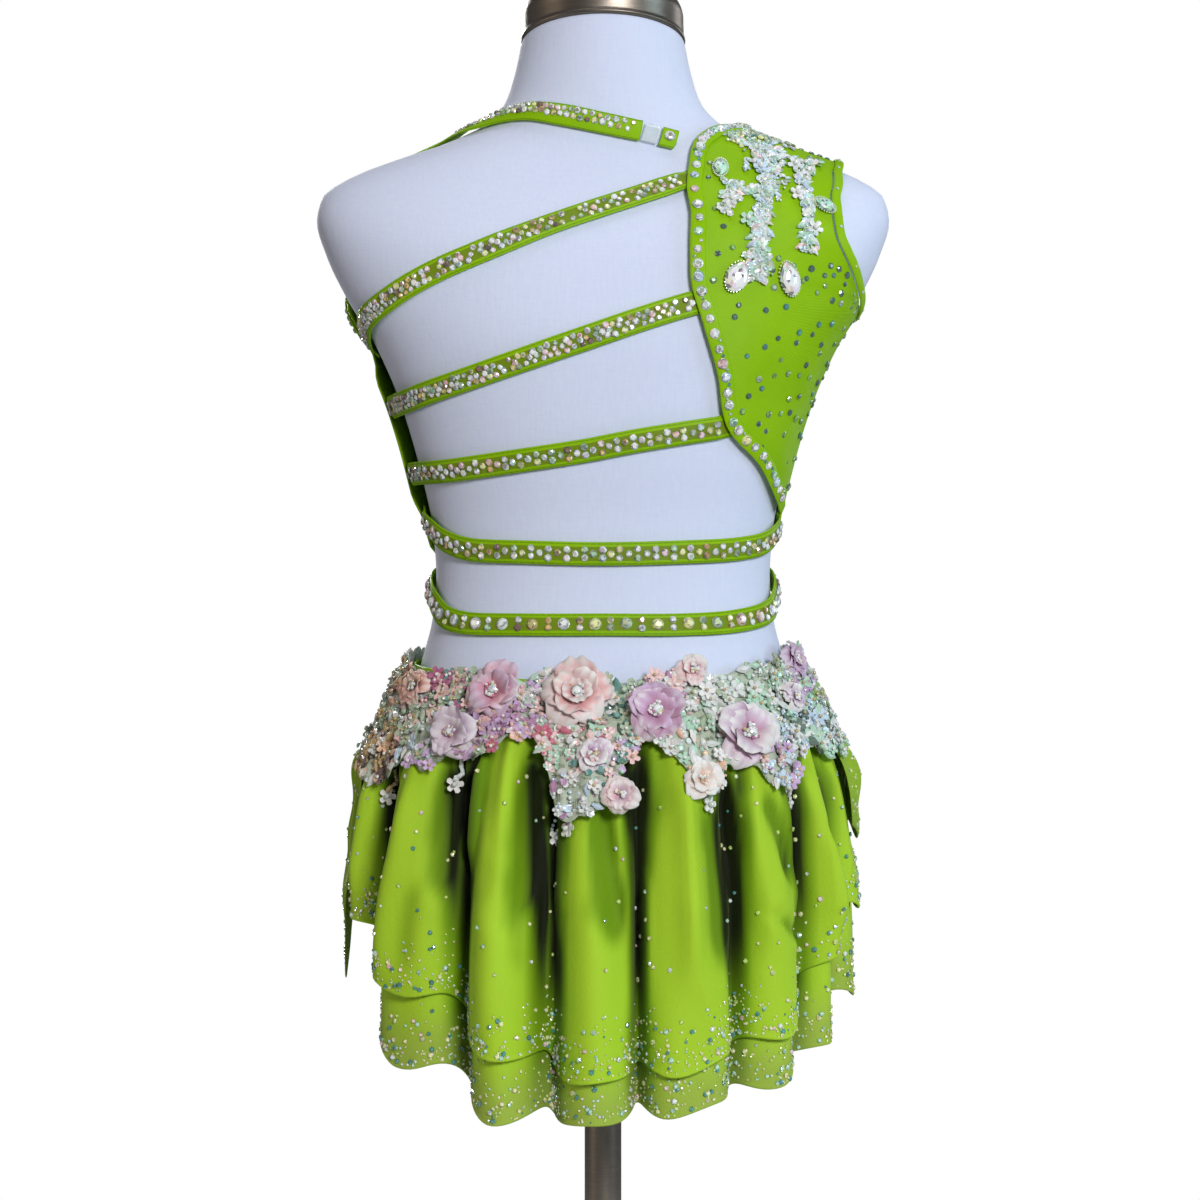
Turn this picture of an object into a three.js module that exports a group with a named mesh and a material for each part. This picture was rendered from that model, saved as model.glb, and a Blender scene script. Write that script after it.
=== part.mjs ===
// A lyrical dance costume in a child's size, worn by a limbless dress form on a short countertop stand.
// Lengths are millimetres and angles are degrees. +Z is up, -Y is the back of the costume, +Y its front and
// +X the wearer's right. The origin is the centre of the stand's underside.
//
// Cloth that lies on the form is laid out by "turn" and height: turn 0 is the centre back, 90 the wearer's
// right side, 180 the centre front and -90 (or 270) the left side.
import * as THREE from "three";

// ---------------------------------------------------------------- driving sizes
const AIR = 2.8; // between the form and the cloth on it
const STRETCH = 1.5; // wall of the bodice and the straps
const CHIFFON = 1.2; // wall of the skirt
const TRIM = 1.3; // wall of bindings and lace
const SEAM = 0.4; // gap between pieces that are sewn together
const ON_CLOTH = AIR + STRETCH + SEAM; // where a trim on the bodice begins
const STRAP_WIDTH = 14;
const EDGE_STANDS_OFF = 4; // the loose left side of the front bodice
const TIER_INSET = 4.6; // the lower tier hangs this far inside the upper one
const YOKE_LOW = 356; // lower edge of the hip yoke
const LOWER_TIER_TOP = 366;
const HANG_BELOW_WAIST = 13; // the upper tier is gathered this far below the waistline
const POLE_RADIUS = 11;
const BASE = { radius: 150, thick: 10, bevel: 3, bossRadius: 21, bossHeight: 26, sides: 32 };
const FORM_BOTTOM = 262;
const NECK_TOP = 785;

// The dress form, one row for each horizontal ring: half its width, its depth behind and in front of the
// middle line, that line's place, how square its corners are, and how far the ring leans down to the front.
const FORM_RINGS = [
  { z: FORM_BOTTOM, half: 120, back: 84, front: 79, mid: 0, corner: 2.3, lean: 0 },
  { z: 320, half: 123, back: 87, front: 81, mid: 0, corner: 2.3, lean: 0 },
  { z: 375, half: 118, back: 84, front: 79, mid: 0, corner: 2.3, lean: 0 },
  { z: 412, half: 109, back: 76, front: 77, mid: 0, corner: 2.3, lean: 0 },
  { z: 440, half: 102, back: 68, front: 74, mid: 1, corner: 2.3, lean: 0 },
  { z: 464, half: 100, back: 66, front: 73, mid: 2, corner: 2.3, lean: 0 },
  { z: 492, half: 102, back: 68, front: 75, mid: 2, corner: 2.3, lean: 0 },
  { z: 530, half: 110, back: 74, front: 80, mid: 0, corner: 2.4, lean: 0 },
  { z: 570, half: 122, back: 80, front: 84, mid: -2, corner: 2.5, lean: 0 },
  { z: 600, half: 135, back: 82, front: 82, mid: -4, corner: 2.6, lean: 0 },
  { z: 630, half: 153, back: 78, front: 76, mid: -5, corner: 2.7, lean: 0 },
  { z: 655, half: 165, back: 72, front: 68, mid: -5, corner: 2.8, lean: 0 },
  { z: 676, half: 171, back: 62, front: 58, mid: -4, corner: 2.7, lean: 0 },
  { z: 690, half: 168, back: 54, front: 50, mid: -3, corner: 2.5, lean: 0 },
  { z: 702, half: 152, back: 47, front: 45, mid: -1, corner: 2.4, lean: 0 },
  { z: 713, half: 125, back: 43, front: 43, mid: 1, corner: 2.3, lean: 0 },
  { z: 724, half: 93, back: 42, front: 43, mid: 3, corner: 2.2, lean: 0 },
  { z: 735, half: 71, back: 43, front: 44, mid: 5, corner: 2.1, lean: 0.02 },
  { z: 748, half: 59, back: 43, front: 44, mid: 7, corner: 2.0, lean: 0.1 },
  { z: 766, half: 53, back: 42, front: 43, mid: 9, corner: 2.0, lean: 0.22 },
  { z: NECK_TOP, half: 49, back: 41, front: 42, mid: 11, corner: 2.0, lean: 0.3 },
];
const CAP_RINGS = [
  { z: NECK_TOP + SEAM, half: 49.8, back: 41.8, front: 42.8, mid: 11, corner: 2, lean: 0.3 },
  { z: 800, half: 49.2, back: 41.6, front: 42.6, mid: 11, corner: 2, lean: 0.26 },
  { z: 808, half: 46.6, back: 39, front: 40, mid: 11, corner: 2, lean: 0.22 },
  { z: 813, half: 41, back: 33, front: 34, mid: 11, corner: 2, lean: 0.18 },
  { z: 817, half: 20, back: 16, front: 16, mid: 11, corner: 2, lean: 0.1 },
];

// The skirt's rings: how far the middle of its folds hangs from the form at the sides and at the back and
// front, and the share of each fold's full depth that has opened there.
const SKIRT_RINGS = [
  { z: 140, side: 26, fore: 35, fold: 1.08 },
  { z: 270, side: 23, fore: 29, fold: 1.0 },
  { z: 320, side: 18, fore: 24, fold: 0.78 },
  { z: 348, side: 16.6, fore: 19, fold: 0.52 },
  { z: 372, side: 11.5, fore: 13.5, fold: 0.3 },
  { z: 398, side: 7.6, fore: 8.5, fold: 0.14 },
  { z: 420, side: 5.8, fore: 6, fold: 0.08 },
];
// One row for each fold: the turn of the valley that it starts at, how deep that valley is, and the height
// of the upper and the lower tier's hem on the ridge that follows.
const FOLDS = [
  { from: -79, deep: 12, upper: 266, lower: 272 },
  { from: -63, deep: 21, upper: 226, lower: 184 },
  { from: -34, deep: 27, upper: 190, lower: 154 },
  { from: -12, deep: 27, upper: 176, lower: 152 },
  { from: 8, deep: 28, upper: 183, lower: 159 },
  { from: 31, deep: 17, upper: 201, lower: 173 },
  { from: 51, deep: 20, upper: 243, lower: 192 },
  { from: 66, deep: 17, upper: 270, lower: 219 },
  { from: 86, deep: 20, upper: 280, lower: 227 },
  { from: 105, deep: 18, upper: 283, lower: 234 },
  { from: 125, deep: 21, upper: 286, lower: 239 },
  { from: 144, deep: 23, upper: 287, lower: 242 },
  { from: 165, deep: 24, upper: 288, lower: 243 },
  { from: 183, deep: 23, upper: 287, lower: 243 },
  { from: 204, deep: 24, upper: 286, lower: 243 },
  { from: 223, deep: 21, upper: 285, lower: 246 },
  { from: 244, deep: 11, upper: 280, lower: 256 },
  { from: 263, deep: 6, upper: 272, lower: 266 },
  { from: 281, deep: 12, upper: 266, lower: 272 },
];
const SAMPLES_A_FOLD = { back: 6, front: 4 };
const TIER_ROWS = { upperBack: 6, upperFront: 4, lowerBack: 3, lowerFront: 3 };
const FOLD_SHARPNESS = 1.5; // above 1 the valleys are narrower than the ridges
const FRONT_SEAM = { right: 86, left: 281 }; // where the skirt's front and back are joined

// The bodice's panels, from the bottom up: a row joins a point of the right edge to one of the left edge.
const FRONT_SECTIONS = [
  { rightTurn: 123, rightZ: 417.6, leftTurn: 237, leftZ: 417.6 },
  { rightTurn: 121, rightZ: 438, leftTurn: 239, leftZ: 438 },
  { rightTurn: 117, rightZ: 456, leftTurn: 243, leftZ: 456 },
  { rightTurn: 114.6, rightZ: 472, leftTurn: 245.4, leftZ: 472 },
  { rightTurn: 104, rightZ: 483, leftTurn: 258, leftZ: 481 },
  { rightTurn: 94, rightZ: 492, leftTurn: 271, leftZ: 489 },
  { rightTurn: 93, rightZ: 530, leftTurn: 272, leftZ: 530 },
  { rightTurn: 93, rightZ: 575, leftTurn: 272, leftZ: 575 },
  { rightTurn: 94, rightZ: 612, leftTurn: 272, leftZ: 612 },
  { rightTurn: 110, rightZ: 627, leftTurn: 252, leftZ: 633 },
  { rightTurn: 124, rightZ: 640, leftTurn: 236, leftZ: 648 },
  { rightTurn: 134, rightZ: 662, leftTurn: 216, leftZ: 665 },
  { rightTurn: 134, rightZ: 684, leftTurn: 188, leftZ: 688 },
  { rightTurn: 124, rightZ: 700, leftTurn: 148, leftZ: 713 },
  { rightTurn: 90.4, rightZ: 709, leftTurn: 90.4, leftZ: 729 },
];
const BACK_SECTIONS = [
  { rightTurn: 91.6, rightZ: 506, leftTurn: 74, leftZ: 504 },
  { rightTurn: 91.6, rightZ: 520, leftTurn: 62, leftZ: 516 },
  { rightTurn: 91.6, rightZ: 536, leftTurn: 50, leftZ: 532 },
  { rightTurn: 91.6, rightZ: 554, leftTurn: 36, leftZ: 552 },
  { rightTurn: 91.6, rightZ: 580, leftTurn: 30, leftZ: 582 },
  { rightTurn: 91.6, rightZ: 600, leftTurn: 24, leftZ: 608 },
  { rightTurn: 90.6, rightZ: 613, leftTurn: 19.5, leftZ: 630 },
  { rightTurn: 71, rightZ: 626, leftTurn: 18, leftZ: 650 },
  { rightTurn: 57, rightZ: 640, leftTurn: 17.5, leftZ: 672 },
  { rightTurn: 46.5, rightZ: 662, leftTurn: 17.5, leftZ: 693 },
  { rightTurn: 46, rightZ: 684, leftTurn: 24, leftZ: 712 },
  { rightTurn: 55, rightZ: 700, leftTurn: 40, leftZ: 724 },
  { rightTurn: 89.6, rightZ: 709, leftTurn: 89.6, leftZ: 729 },
];
const STRAPS = {
  strap_1_shoulder_blade: [
    { turn: -86.4, z: 603 }, { turn: -79, z: 607.5 }, { turn: -68, z: 614 }, { turn: -50, z: 625 },
    { turn: -28, z: 647 }, { turn: -6.5, z: 671 }, { turn: 16.1, z: 694 },
  ],
  strap_2_upper_back: [
    { turn: -86.8, z: 567 }, { turn: -72, z: 567 }, { turn: -59, z: 569 }, { turn: -37, z: 578 },
    { turn: -5.5, z: 600 }, { turn: 19.7, z: 621 },
  ],
  strap_3_mid_back: [
    { turn: -86.8, z: 527 }, { turn: -71, z: 526 }, { turn: -46.5, z: 527 }, { turn: -8.5, z: 536 },
    { turn: 10.5, z: 543 }, { turn: 34.2, z: 551 },
  ],
  strap_4_lower_back: [
    { turn: -86.8, z: 499 }, { turn: -72, z: 492 }, { turn: -60, z: 485 }, { turn: -47, z: 480 },
    { turn: -24, z: 478 }, { turn: 0, z: 477 }, { turn: 24, z: 478 }, { turn: 46, z: 480 },
    { turn: 63.5, z: 484 }, { turn: 77, z: 490 }, { turn: 91, z: 495 },
  ],
  strap_5_waist: [
    { turn: -112, z: 464 }, { turn: -102, z: 462 }, { turn: -88, z: 457 }, { turn: -71, z: 448 },
    { turn: -60, z: 440 }, { turn: -48, z: 436 }, { turn: -25, z: 435 }, { turn: 0, z: 435 },
    { turn: 25, z: 435 }, { turn: 45, z: 437 }, { turn: 69, z: 444 }, { turn: 86, z: 455 },
    { turn: 102, z: 462 }, { turn: 112, z: 464 },
  ],
};
const NECK_BAND = [
  { turn: -134.5, z: 660 }, { turn: -131, z: 684 }, { turn: -122, z: 706 }, { turn: -106, z: 721 },
  { turn: -90, z: 727 }, { turn: -67.5, z: 731 }, { turn: -56, z: 735 }, { turn: -38.5, z: 737 },
  { turn: -15.5, z: 734 }, { turn: 2, z: 729.5 }, { turn: 14.4, z: 725.5 },
];
const NECK_CLASP = [{ turn: 15, z: 725 }, { turn: 19.6, z: 722.6 }];
const NECK_TAB = [{ turn: 20.2, z: 722.3 }, { turn: 24.2, z: 720 }];
// The edge that the bindings are sewn round, and the armhole's loop.
const BACK_EDGE = BACK_SECTIONS.map((row) => ({ turn: Math.min(row.leftTurn, 85), z: row.leftZ }));
const NECKLINE = FRONT_SECTIONS.slice(8)
  .map((row) => ({ turn: Math.max(row.leftTurn, 95), z: row.leftZ }))
  .reverse();
const ARMHOLE = [
  ...BACK_SECTIONS.slice(7).map((row) => ({ turn: row.rightTurn, z: row.rightZ })),
  ...FRONT_SECTIONS.slice(9, 14).map((row) => ({ turn: row.rightTurn, z: row.rightZ })).reverse(),
  { turn: 90.6, z: 619 },
];
// Beaded sprays on the shoulder, each a stem that tapers, and the large set stones beside them.
const SPRAYS = {
  shoulder_spray_middle: {
    width: 15,
    path: [{ turn: 51, z: 716 }, { turn: 39, z: 706 }, { turn: 33, z: 690 }, { turn: 30, z: 668 },
      { turn: 32, z: 634 }],
  },
  shoulder_spray_left: {
    width: 8,
    path: [{ turn: 26, z: 692 }, { turn: 24.5, z: 684 }, { turn: 22.8, z: 673 }],
  },
  shoulder_spray_right: {
    width: 9,
    path: [{ turn: 52, z: 705 }, { turn: 41.5, z: 693 }, { turn: 39.5, z: 672 }, { turn: 40, z: 652 }],
  },
};
const SET_STONES = {
  stone_top_left: { turn: 25, z: 700, long: 14, wide: 8, lean: 35 },
  stone_top_right: { turn: 43.4, z: 678, long: 13, wide: 8, lean: -50 },
  stone_drop_left: { turn: 27.4, z: 636, long: 19, wide: 12, lean: 12 },
  stone_drop_right: { turn: 38.5, z: 636, long: 20, wide: 11, lean: -38 },
};
// The lace round the hips: its upper and lower edge by turn.
const LACE_EDGES = [
  { turn: -79, high: 412, low: 352 }, { turn: -66, high: 408, low: 342 }, { turn: -52, high: 404, low: 352 },
  { turn: -38, high: 406, low: 358 }, { turn: -26, high: 400, low: 362 }, { turn: -18, high: 405, low: 370 },
  { turn: -9, high: 406, low: 330 }, { turn: 1, high: 402, low: 328 }, { turn: 7, high: 398, low: 352 },
  { turn: 16, high: 405, low: 362 }, { turn: 25, high: 407, low: 338 }, { turn: 36, high: 404, low: 352 },
  { turn: 46, high: 412, low: 342 }, { turn: 60, high: 410, low: 360 }, { turn: 86, high: 418, low: 366 },
  { turn: 110, high: 419, low: 376 }, { turn: 140, high: 417, low: 384 }, { turn: 165, high: 418, low: 372 },
  { turn: 183, high: 418, low: 366 }, { turn: 200, high: 418, low: 376 }, { turn: 225, high: 417, low: 384 },
  { turn: 255, high: 418, low: 372 }, { turn: 281, high: 412, low: 352 },
];
// How far each puff of the drapes beside the hips stands out, its height and how tall it is.
const LEFT_LOBES = [
  { at: 350, out: 6, tall: 13 }, { at: 312, out: 1.8, tall: 12 }, { at: 272, out: 2, tall: 18 },
];
const RIGHT_LOBES = [{ at: 345, out: 6, tall: 17 }, { at: 316, out: 2, tall: 8 }];

const FLOWERS = [
  { turn: -58, z: 397, size: 26 }, { turn: -38, z: 371, size: 34 }, { turn: -29, z: 395, size: 40 },
  { turn: -6.8, z: 394, size: 46 }, { turn: -2.2, z: 359, size: 24 }, { turn: 13.5, z: 384, size: 42 },
  { turn: 25, z: 408, size: 22 }, { turn: 36.5, z: 371, size: 44 }, { turn: 22.5, z: 345, size: 26 },
  { turn: 3.8, z: 337, size: 24 }, { turn: 67, z: 413, size: 26 }, { turn: 57.5, z: 391, size: 22 },
  { turn: 124, z: 397, size: 34 }, { turn: 171, z: 399, size: 42 }, { turn: 194, z: 396, size: 30 },
  { turn: 236, z: 397, size: 34 },
];
const PETALS = 5;

// ---------------------------------------------------------------- small helpers
const radians = THREE.MathUtils.degToRad;
const smooth = (x) => THREE.MathUtils.smoothstep(x, 0, 1);

/** A curve through a table's values with no overshoot between its rows. */
function monotone(rows, key, value) {
  const x = rows.map((row) => row[key]);
  const y = rows.map((row) => row[value]);
  const last = x.length - 1;
  const rise = x.slice(1).map((end, i) => (y[i + 1] - y[i]) / (end - x[i]));
  const slope = x.map((_, i) => {
    if (i === 0 || i === last) return rise[i ? last - 1 : 0];
    return rise[i - 1] * rise[i] <= 0 ? 0 : 2 / (1 / rise[i - 1] + 1 / rise[i]);
  });
  return (at) => {
    const q = THREE.MathUtils.clamp(at, x[0], x[last]);
    let i = 0;
    while (i < last - 1 && q > x[i + 1]) i += 1;
    const span = x[i + 1] - x[i];
    const t = (q - x[i]) / span;
    const ease = t * t * (3 - 2 * t);
    const start = t * (1 - t) * (1 - t) * span * slope[i];
    const end = t * t * (t - 1) * span * slope[i + 1];
    return y[i] * (1 - ease) + y[i + 1] * ease + start + end;
  };
}

/** Every named column of a table of rings, as curves over the height. */
function columns(rows, names, key = "z") {
  return Object.fromEntries(names.map((name) => [name, monotone(rows, key, name)]));
}

const RING_COLUMNS = ["half", "back", "front", "mid", "corner", "lean"];
const form = columns(FORM_RINGS, RING_COLUMNS);
const skirt = columns(SKIRT_RINGS, ["side", "fore", "fold"]);

/** A point of a ring: a squared ellipse that is deeper behind or in front, leaning forward at the neck. */
function ringPoint(ring, turn, z) {
  const s = Math.sin(radians(turn));
  const c = Math.cos(radians(turn));
  const n = ring.corner(z);
  const reach = (Math.abs(s) ** n + Math.abs(c) ** n) ** (-1 / n);
  const y = (c > 0 ? -ring.back(z) : -ring.front(z)) * reach * c;
  return new THREE.Vector3(ring.half(z) * reach * s, ring.mid(z) + y, z - ring.lean(z) * y);
}

/** The outward normal of any surface laid out by turn and height. */
function normalOf(surface, turn, z, step = 0.4) {
  const round = surface(turn + step, z).sub(surface(turn - step, z));
  const up = surface(turn, z + step).sub(surface(turn, z - step));
  return round.cross(up).normalize();
}

const onForm = (turn, z) => ringPoint(form, turn, z);
const lifted = (surface, turn, z, lift) =>
  surface(turn, z).addScaledVector(normalOf(surface, turn, z), lift);

/** A closed wall between two grids of points, round (ringed) or open at its first and last column. */
function wall(rows, cols, outer, inner, ringed = false) {
  const wide = ringed ? cols : cols + 1;
  const points = [];
  for (const side of [outer, inner])
    for (let i = 0; i <= rows; i += 1)
      for (let j = 0; j < wide; j += 1) points.push(...side(i, j).toArray());
  const out = (i, j) => i * wide + (j % wide);
  const into = (i, j) => (rows + 1) * wide + out(i, j);
  const faces = [];
  const quad = (a, b, c, d) => faces.push(a, b, c, a, c, d);
  for (let i = 0; i < rows; i += 1)
    for (let j = 0; j < cols; j += 1) {
      quad(out(i, j), out(i, j + 1), out(i + 1, j + 1), out(i + 1, j));
      quad(into(i, j), into(i + 1, j), into(i + 1, j + 1), into(i, j + 1));
    }
  for (let j = 0; j < cols; j += 1) {
    quad(out(0, j + 1), out(0, j), into(0, j), into(0, j + 1));
    quad(out(rows, j), out(rows, j + 1), into(rows, j + 1), into(rows, j));
  }
  if (!ringed)
    for (let i = 0; i < rows; i += 1) {
      quad(out(i, 0), out(i + 1, 0), into(i + 1, 0), into(i, 0));
      quad(out(i + 1, cols), out(i, cols), into(i, cols), into(i + 1, cols));
    }
  const geometry = new THREE.BufferGeometry();
  geometry.setAttribute("position", new THREE.Float32BufferAttribute(points, 3));
  return geometry.setIndex(faces);
}

/** A solid through whole rings, closed by a point in the middle of its lowest and its highest ring. */
function solidOfRings(heights, sides, at) {
  const points = heights.flatMap((z) =>
    Array.from({ length: sides }, (_, j) => at((360 * j) / sides, z).toArray()).flat(),
  );
  const centre = (z) => at(0, z).add(at(180, z)).multiplyScalar(0.5);
  points.push(...centre(heights[0]).toArray(), ...centre(heights[heights.length - 1]).toArray());
  const bottom = heights.length * sides;
  const top = (heights.length - 1) * sides;
  const faces = [];
  for (let j = 0; j < sides; j += 1) {
    const next = (j + 1) % sides;
    for (let i = 0; i < heights.length - 1; i += 1) {
      const low = i * sides;
      faces.push(low + j, low + next, low + sides + next, low + j, low + sides + next, low + sides + j);
    }
    faces.push(next, j, bottom, top + j, top + next, bottom + 1);
  }
  const geometry = new THREE.BufferGeometry();
  geometry.setAttribute("position", new THREE.Float32BufferAttribute(points, 3));
  return geometry.setIndex(faces);
}

// ---------------------------------------------------------------- cloth on the form
/** A smooth line through a table of turns and heights. */
function lineThrough(table, closed = false) {
  const MM_A_DEGREE = 2;
  const points = table.map((row) => new THREE.Vector3(row.turn * MM_A_DEGREE, row.z, 0));
  const curve = new THREE.CatmullRomCurve3(points, closed, "centripetal");
  curve.arcLengthDivisions = 400;
  const place = (p) => ({ turn: p.x / MM_A_DEGREE, z: p.y });
  return { byRow: (t) => place(curve.getPoint(t)), byLength: (t) => place(curve.getPointAt(t)) };
}

/** Shares of a table of sections at which a panel's rows are about equally far apart on the form. */
function evenRows(sections, rows) {
  const half = (a, b) => (a + b) / 2;
  const middle = sections.map((at) => onForm(half(at.leftTurn, at.rightTurn), half(at.leftZ, at.rightZ)));
  let length = 0;
  const table = middle.map((point, i) => {
    if (i) length += point.distanceTo(middle[i - 1]);
    return { length, share: i / (sections.length - 1) };
  });
  const shareAt = monotone(table, "length", "share");
  return Array.from({ length: rows + 1 }, (_, i) => shareAt((length * i) / rows));
}

/** A panel whose rows run from its left to its right edge on the form. */
function panel(sections, rows, cols, lift = () => AIR) {
  const left = lineThrough(sections.map((row) => ({ turn: row.leftTurn, z: row.leftZ })));
  const right = lineThrough(sections.map((row) => ({ turn: row.rightTurn, z: row.rightZ })));
  const [first, second] = sections[0].rightTurn < sections[0].leftTurn ? [right, left] : [left, right];
  const shares = evenRows(sections, rows);
  const closerAtEnds = (x) => (x + (1 - Math.cos(Math.PI * x)) / 2) / 2;
  const side = (thick) => (i, j) => {
    const [a, b] = [first.byRow(shares[i]), second.byRow(shares[i])];
    const turn = THREE.MathUtils.lerp(a.turn, b.turn, closerAtEnds(j / cols));
    const z = THREE.MathUtils.lerp(a.z, b.z, closerAtEnds(j / cols));
    return lifted(onForm, turn, z, lift(turn, z) + thick);
  };
  return wall(rows, cols, side(STRETCH), side(0));
}

/** The place that is `across` mm to the left of a line's direction, measured on the form. */
function beside(at, along, across) {
  const step = 0.5;
  const perTurn = onForm(at.turn + step, at.z).sub(onForm(at.turn - step, at.z)).divideScalar(2 * step);
  const perZ = onForm(at.turn, at.z + step).sub(onForm(at.turn, at.z - step)).divideScalar(2 * step);
  const heading = perTurn.clone().multiplyScalar(along.turn).addScaledVector(perZ, along.z).normalize();
  const sideways = normalOf(onForm, at.turn, at.z).cross(heading);
  const [uu, uv, vv] = [perTurn.dot(perTurn), perTurn.dot(perZ), perZ.dot(perZ)];
  const [su, sv] = [sideways.dot(perTurn), sideways.dot(perZ)];
  const det = uu * vv - uv * uv;
  return {
    turn: at.turn + (across * (vv * su - uv * sv)) / det,
    z: at.z + (across * (uu * sv - uv * su)) / det,
  };
}

/** A band that follows a line on the form. Its lift and width may change along the line. */
function ribbon(table, { width, lift, thick, steps, across = 1, shift = 0, closed = false }) {
  const line = lineThrough(table, closed);
  const liftAt = typeof lift === "function" ? lift : () => lift;
  const widthAt = typeof width === "function" ? width : () => width;
  const side = (extra) => (i, j) => {
    const t = j / steps;
    const nudge = 0.004;
    const wrap = (q) => (closed ? (q + 1) % 1 : THREE.MathUtils.clamp(q, 0, 1));
    const [before, after] = [line.byLength(wrap(t - nudge)), line.byLength(wrap(t + nudge))];
    const along = { turn: after.turn - before.turn, z: after.z - before.z };
    const place = beside(line.byLength(wrap(t)), along, shift + widthAt(t) * (i / across - 0.5));
    return lifted(onForm, place.turn, place.z, liftAt(t) + extra);
  };
  return wall(across, steps, side(thick), side(0), closed);
}

// ---------------------------------------------------------------- the skirt
const waistline = (turn) => 398 + 19 * ((1 - Math.cos(radians(turn))) / 2) ** 0.4;

/** The ring that the middle of the folds follows, moved out from the form, which it leaves at the hips. */
function skirtRing(turn, z) {
  const held = Math.max(z, 300);
  const ring = {
    half: () => form.half(held) + skirt.side(z),
    back: () => form.back(held) + skirt.fore(z),
    front: () => form.front(held) + skirt.fore(z),
    mid: () => form.mid(held),
    corner: () => 2.25,
    lean: () => 0,
  };
  return ringPoint(ring, turn, z);
}

/** The fold that a turn is in, how far through it, and the depth of the valleys at its two ends. */
function foldAt(turn) {
  const round = THREE.MathUtils.euclideanModulo(turn - FOLDS[0].from, 360) + FOLDS[0].from;
  let i = 0;
  while (i < FOLDS.length - 2 && round >= FOLDS[i + 1].from) i += 1;
  const [here, next] = [FOLDS[i], FOLDS[i + 1]];
  return { here, next, before: FOLDS[(i + FOLDS.length - 2) % (FOLDS.length - 1)],
    share: (round - here.from) / (next.from - here.from) };
}

/** How far a fold stands out of the skirt's ring, negative in a valley, which is followed to a share. */
function foldHeight(turn, z, follow = 1) {
  const { here, next, share } = foldAt(turn);
  const deep = THREE.MathUtils.lerp(here.deep, next.deep, share);
  const valley = Math.abs(Math.cos(Math.PI * share)) ** (2 * FOLD_SHARPNESS);
  return skirt.fold(z) * deep * (0.5 - follow * valley);
}

/** A hem's height: each ridge has its own, and the valleys between them are drawn up a little. */
function hemHeight(turn, tier) {
  const VALLEY_RISE = 4;
  const { here, next, before, share } = foldAt(turn);
  const neighbour = share < 0.5 ? before : next;
  const toRidge = smooth(0.5 + Math.min(share, 1 - share));
  const risen = VALLEY_RISE * Math.cos(Math.PI * share) ** 2;
  return here[tier] * toRidge + neighbour[tier] * (1 - toRidge) + risen;
}

/** The outer face of cloth that is sewn to the yoke at its top and falls into folds below it. */
const hanging = (top, { out = 0, share = 1, follow = 1 }) => (turn, z) => {
  const away = normalOf(skirtRing, turn, z, 1);
  const free = skirtRing(turn, z).addScaledVector(away, share * foldHeight(turn, z, follow) + out);
  const sewn = lifted(onForm, turn, z, ON_CLOTH + CHIFFON + Math.max(0, out));
  return sewn.lerp(free, smooth((top(turn) - z) / 11));
};
const upperTop = (turn) => waistline(turn) - HANG_BELOW_WAIST;
const onSkirt = hanging(upperTop, {});
const onLowerTier = hanging(() => LOWER_TIER_TOP, { out: -TIER_INSET, share: 0.9 });
const onLace = hanging(upperTop, { out: 0.8, follow: 0.4 });

/** The turns of a grid that meets every valley and ridge on the back or the front of the skirt. */
function foldTurns(where) {
  const { right, left } = FRONT_SEAM;
  const [from, to] = where === "back" ? [FOLDS[0].from, right] : [right, left];
  const samples = SAMPLES_A_FOLD[where];
  const turns = [];
  for (let i = 0; i < FOLDS.length - 1; i += 1) {
    const [here, next] = [FOLDS[i].from, FOLDS[i + 1].from];
    if (here < from - 0.01 || here >= to) continue;
    for (let k = 0; k < samples; k += 1) turns.push(here + ((next - here) * k) / samples);
  }
  return [...turns, to];
}

/** The heights of a tier's rows at one turn, closer together towards the hem. */
const tierHeights = (rows, top, hem) => (turn) =>
  Array.from({ length: rows + 1 }, (_, i) => THREE.MathUtils.lerp(hem(turn), top(turn), (i / rows) ** 1.15));

/** A hanging wall between two side seams, through the heights given for each turn. */
function hung(surface, turns, heights, { outer = 0, inner = -CHIFFON } = {}) {
  const SEAM_TURN = 0.12;
  const last = turns.length - 1;
  const opened = turns.map((turn, j) => turn + (j === 0 ? SEAM_TURN : 0) - (j === last ? SEAM_TURN : 0));
  const at = opened.map(heights);
  const side = (lift) => (i, j) => lifted(surface, opened[j], at[j][i], lift);
  return wall(at[0].length - 1, last, side(outer), side(inner));
}

/** A puffed drape beside the hip, with a wavy outer face, on the outside of the upper tier. */
function hipDrape({ from, to, high, lows, over, lobes }) {
  const [rows, cols] = [11, 7];
  const low = monotone(lows, "share", "z");
  const side = (inward) => (i, j) => {
    const across = j / cols;
    const turn = THREE.MathUtils.lerp(from, to, across);
    const up = i / rows;
    const z = THREE.MathUtils.lerp(low(across), high, up);
    const ridge = skirt.fold(z) * over + TRIM + SEAM + CHIFFON + 0.8;
    const lobe = lobes.reduce((sum, { at, out, tall }) => sum + out * Math.exp(-(((z - at) / tall) ** 2)), 0);
    const bulge = lobe * Math.sin(Math.PI * up) ** 0.3 * Math.sin(Math.PI * (0.12 + 0.76 * across));
    const surface = (a, b) => skirtRing(a, b);
    return lifted(surface, turn, z, ridge + bulge - inward);
  };
  return wall(rows, cols, side(0), side(CHIFFON));
}

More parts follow.
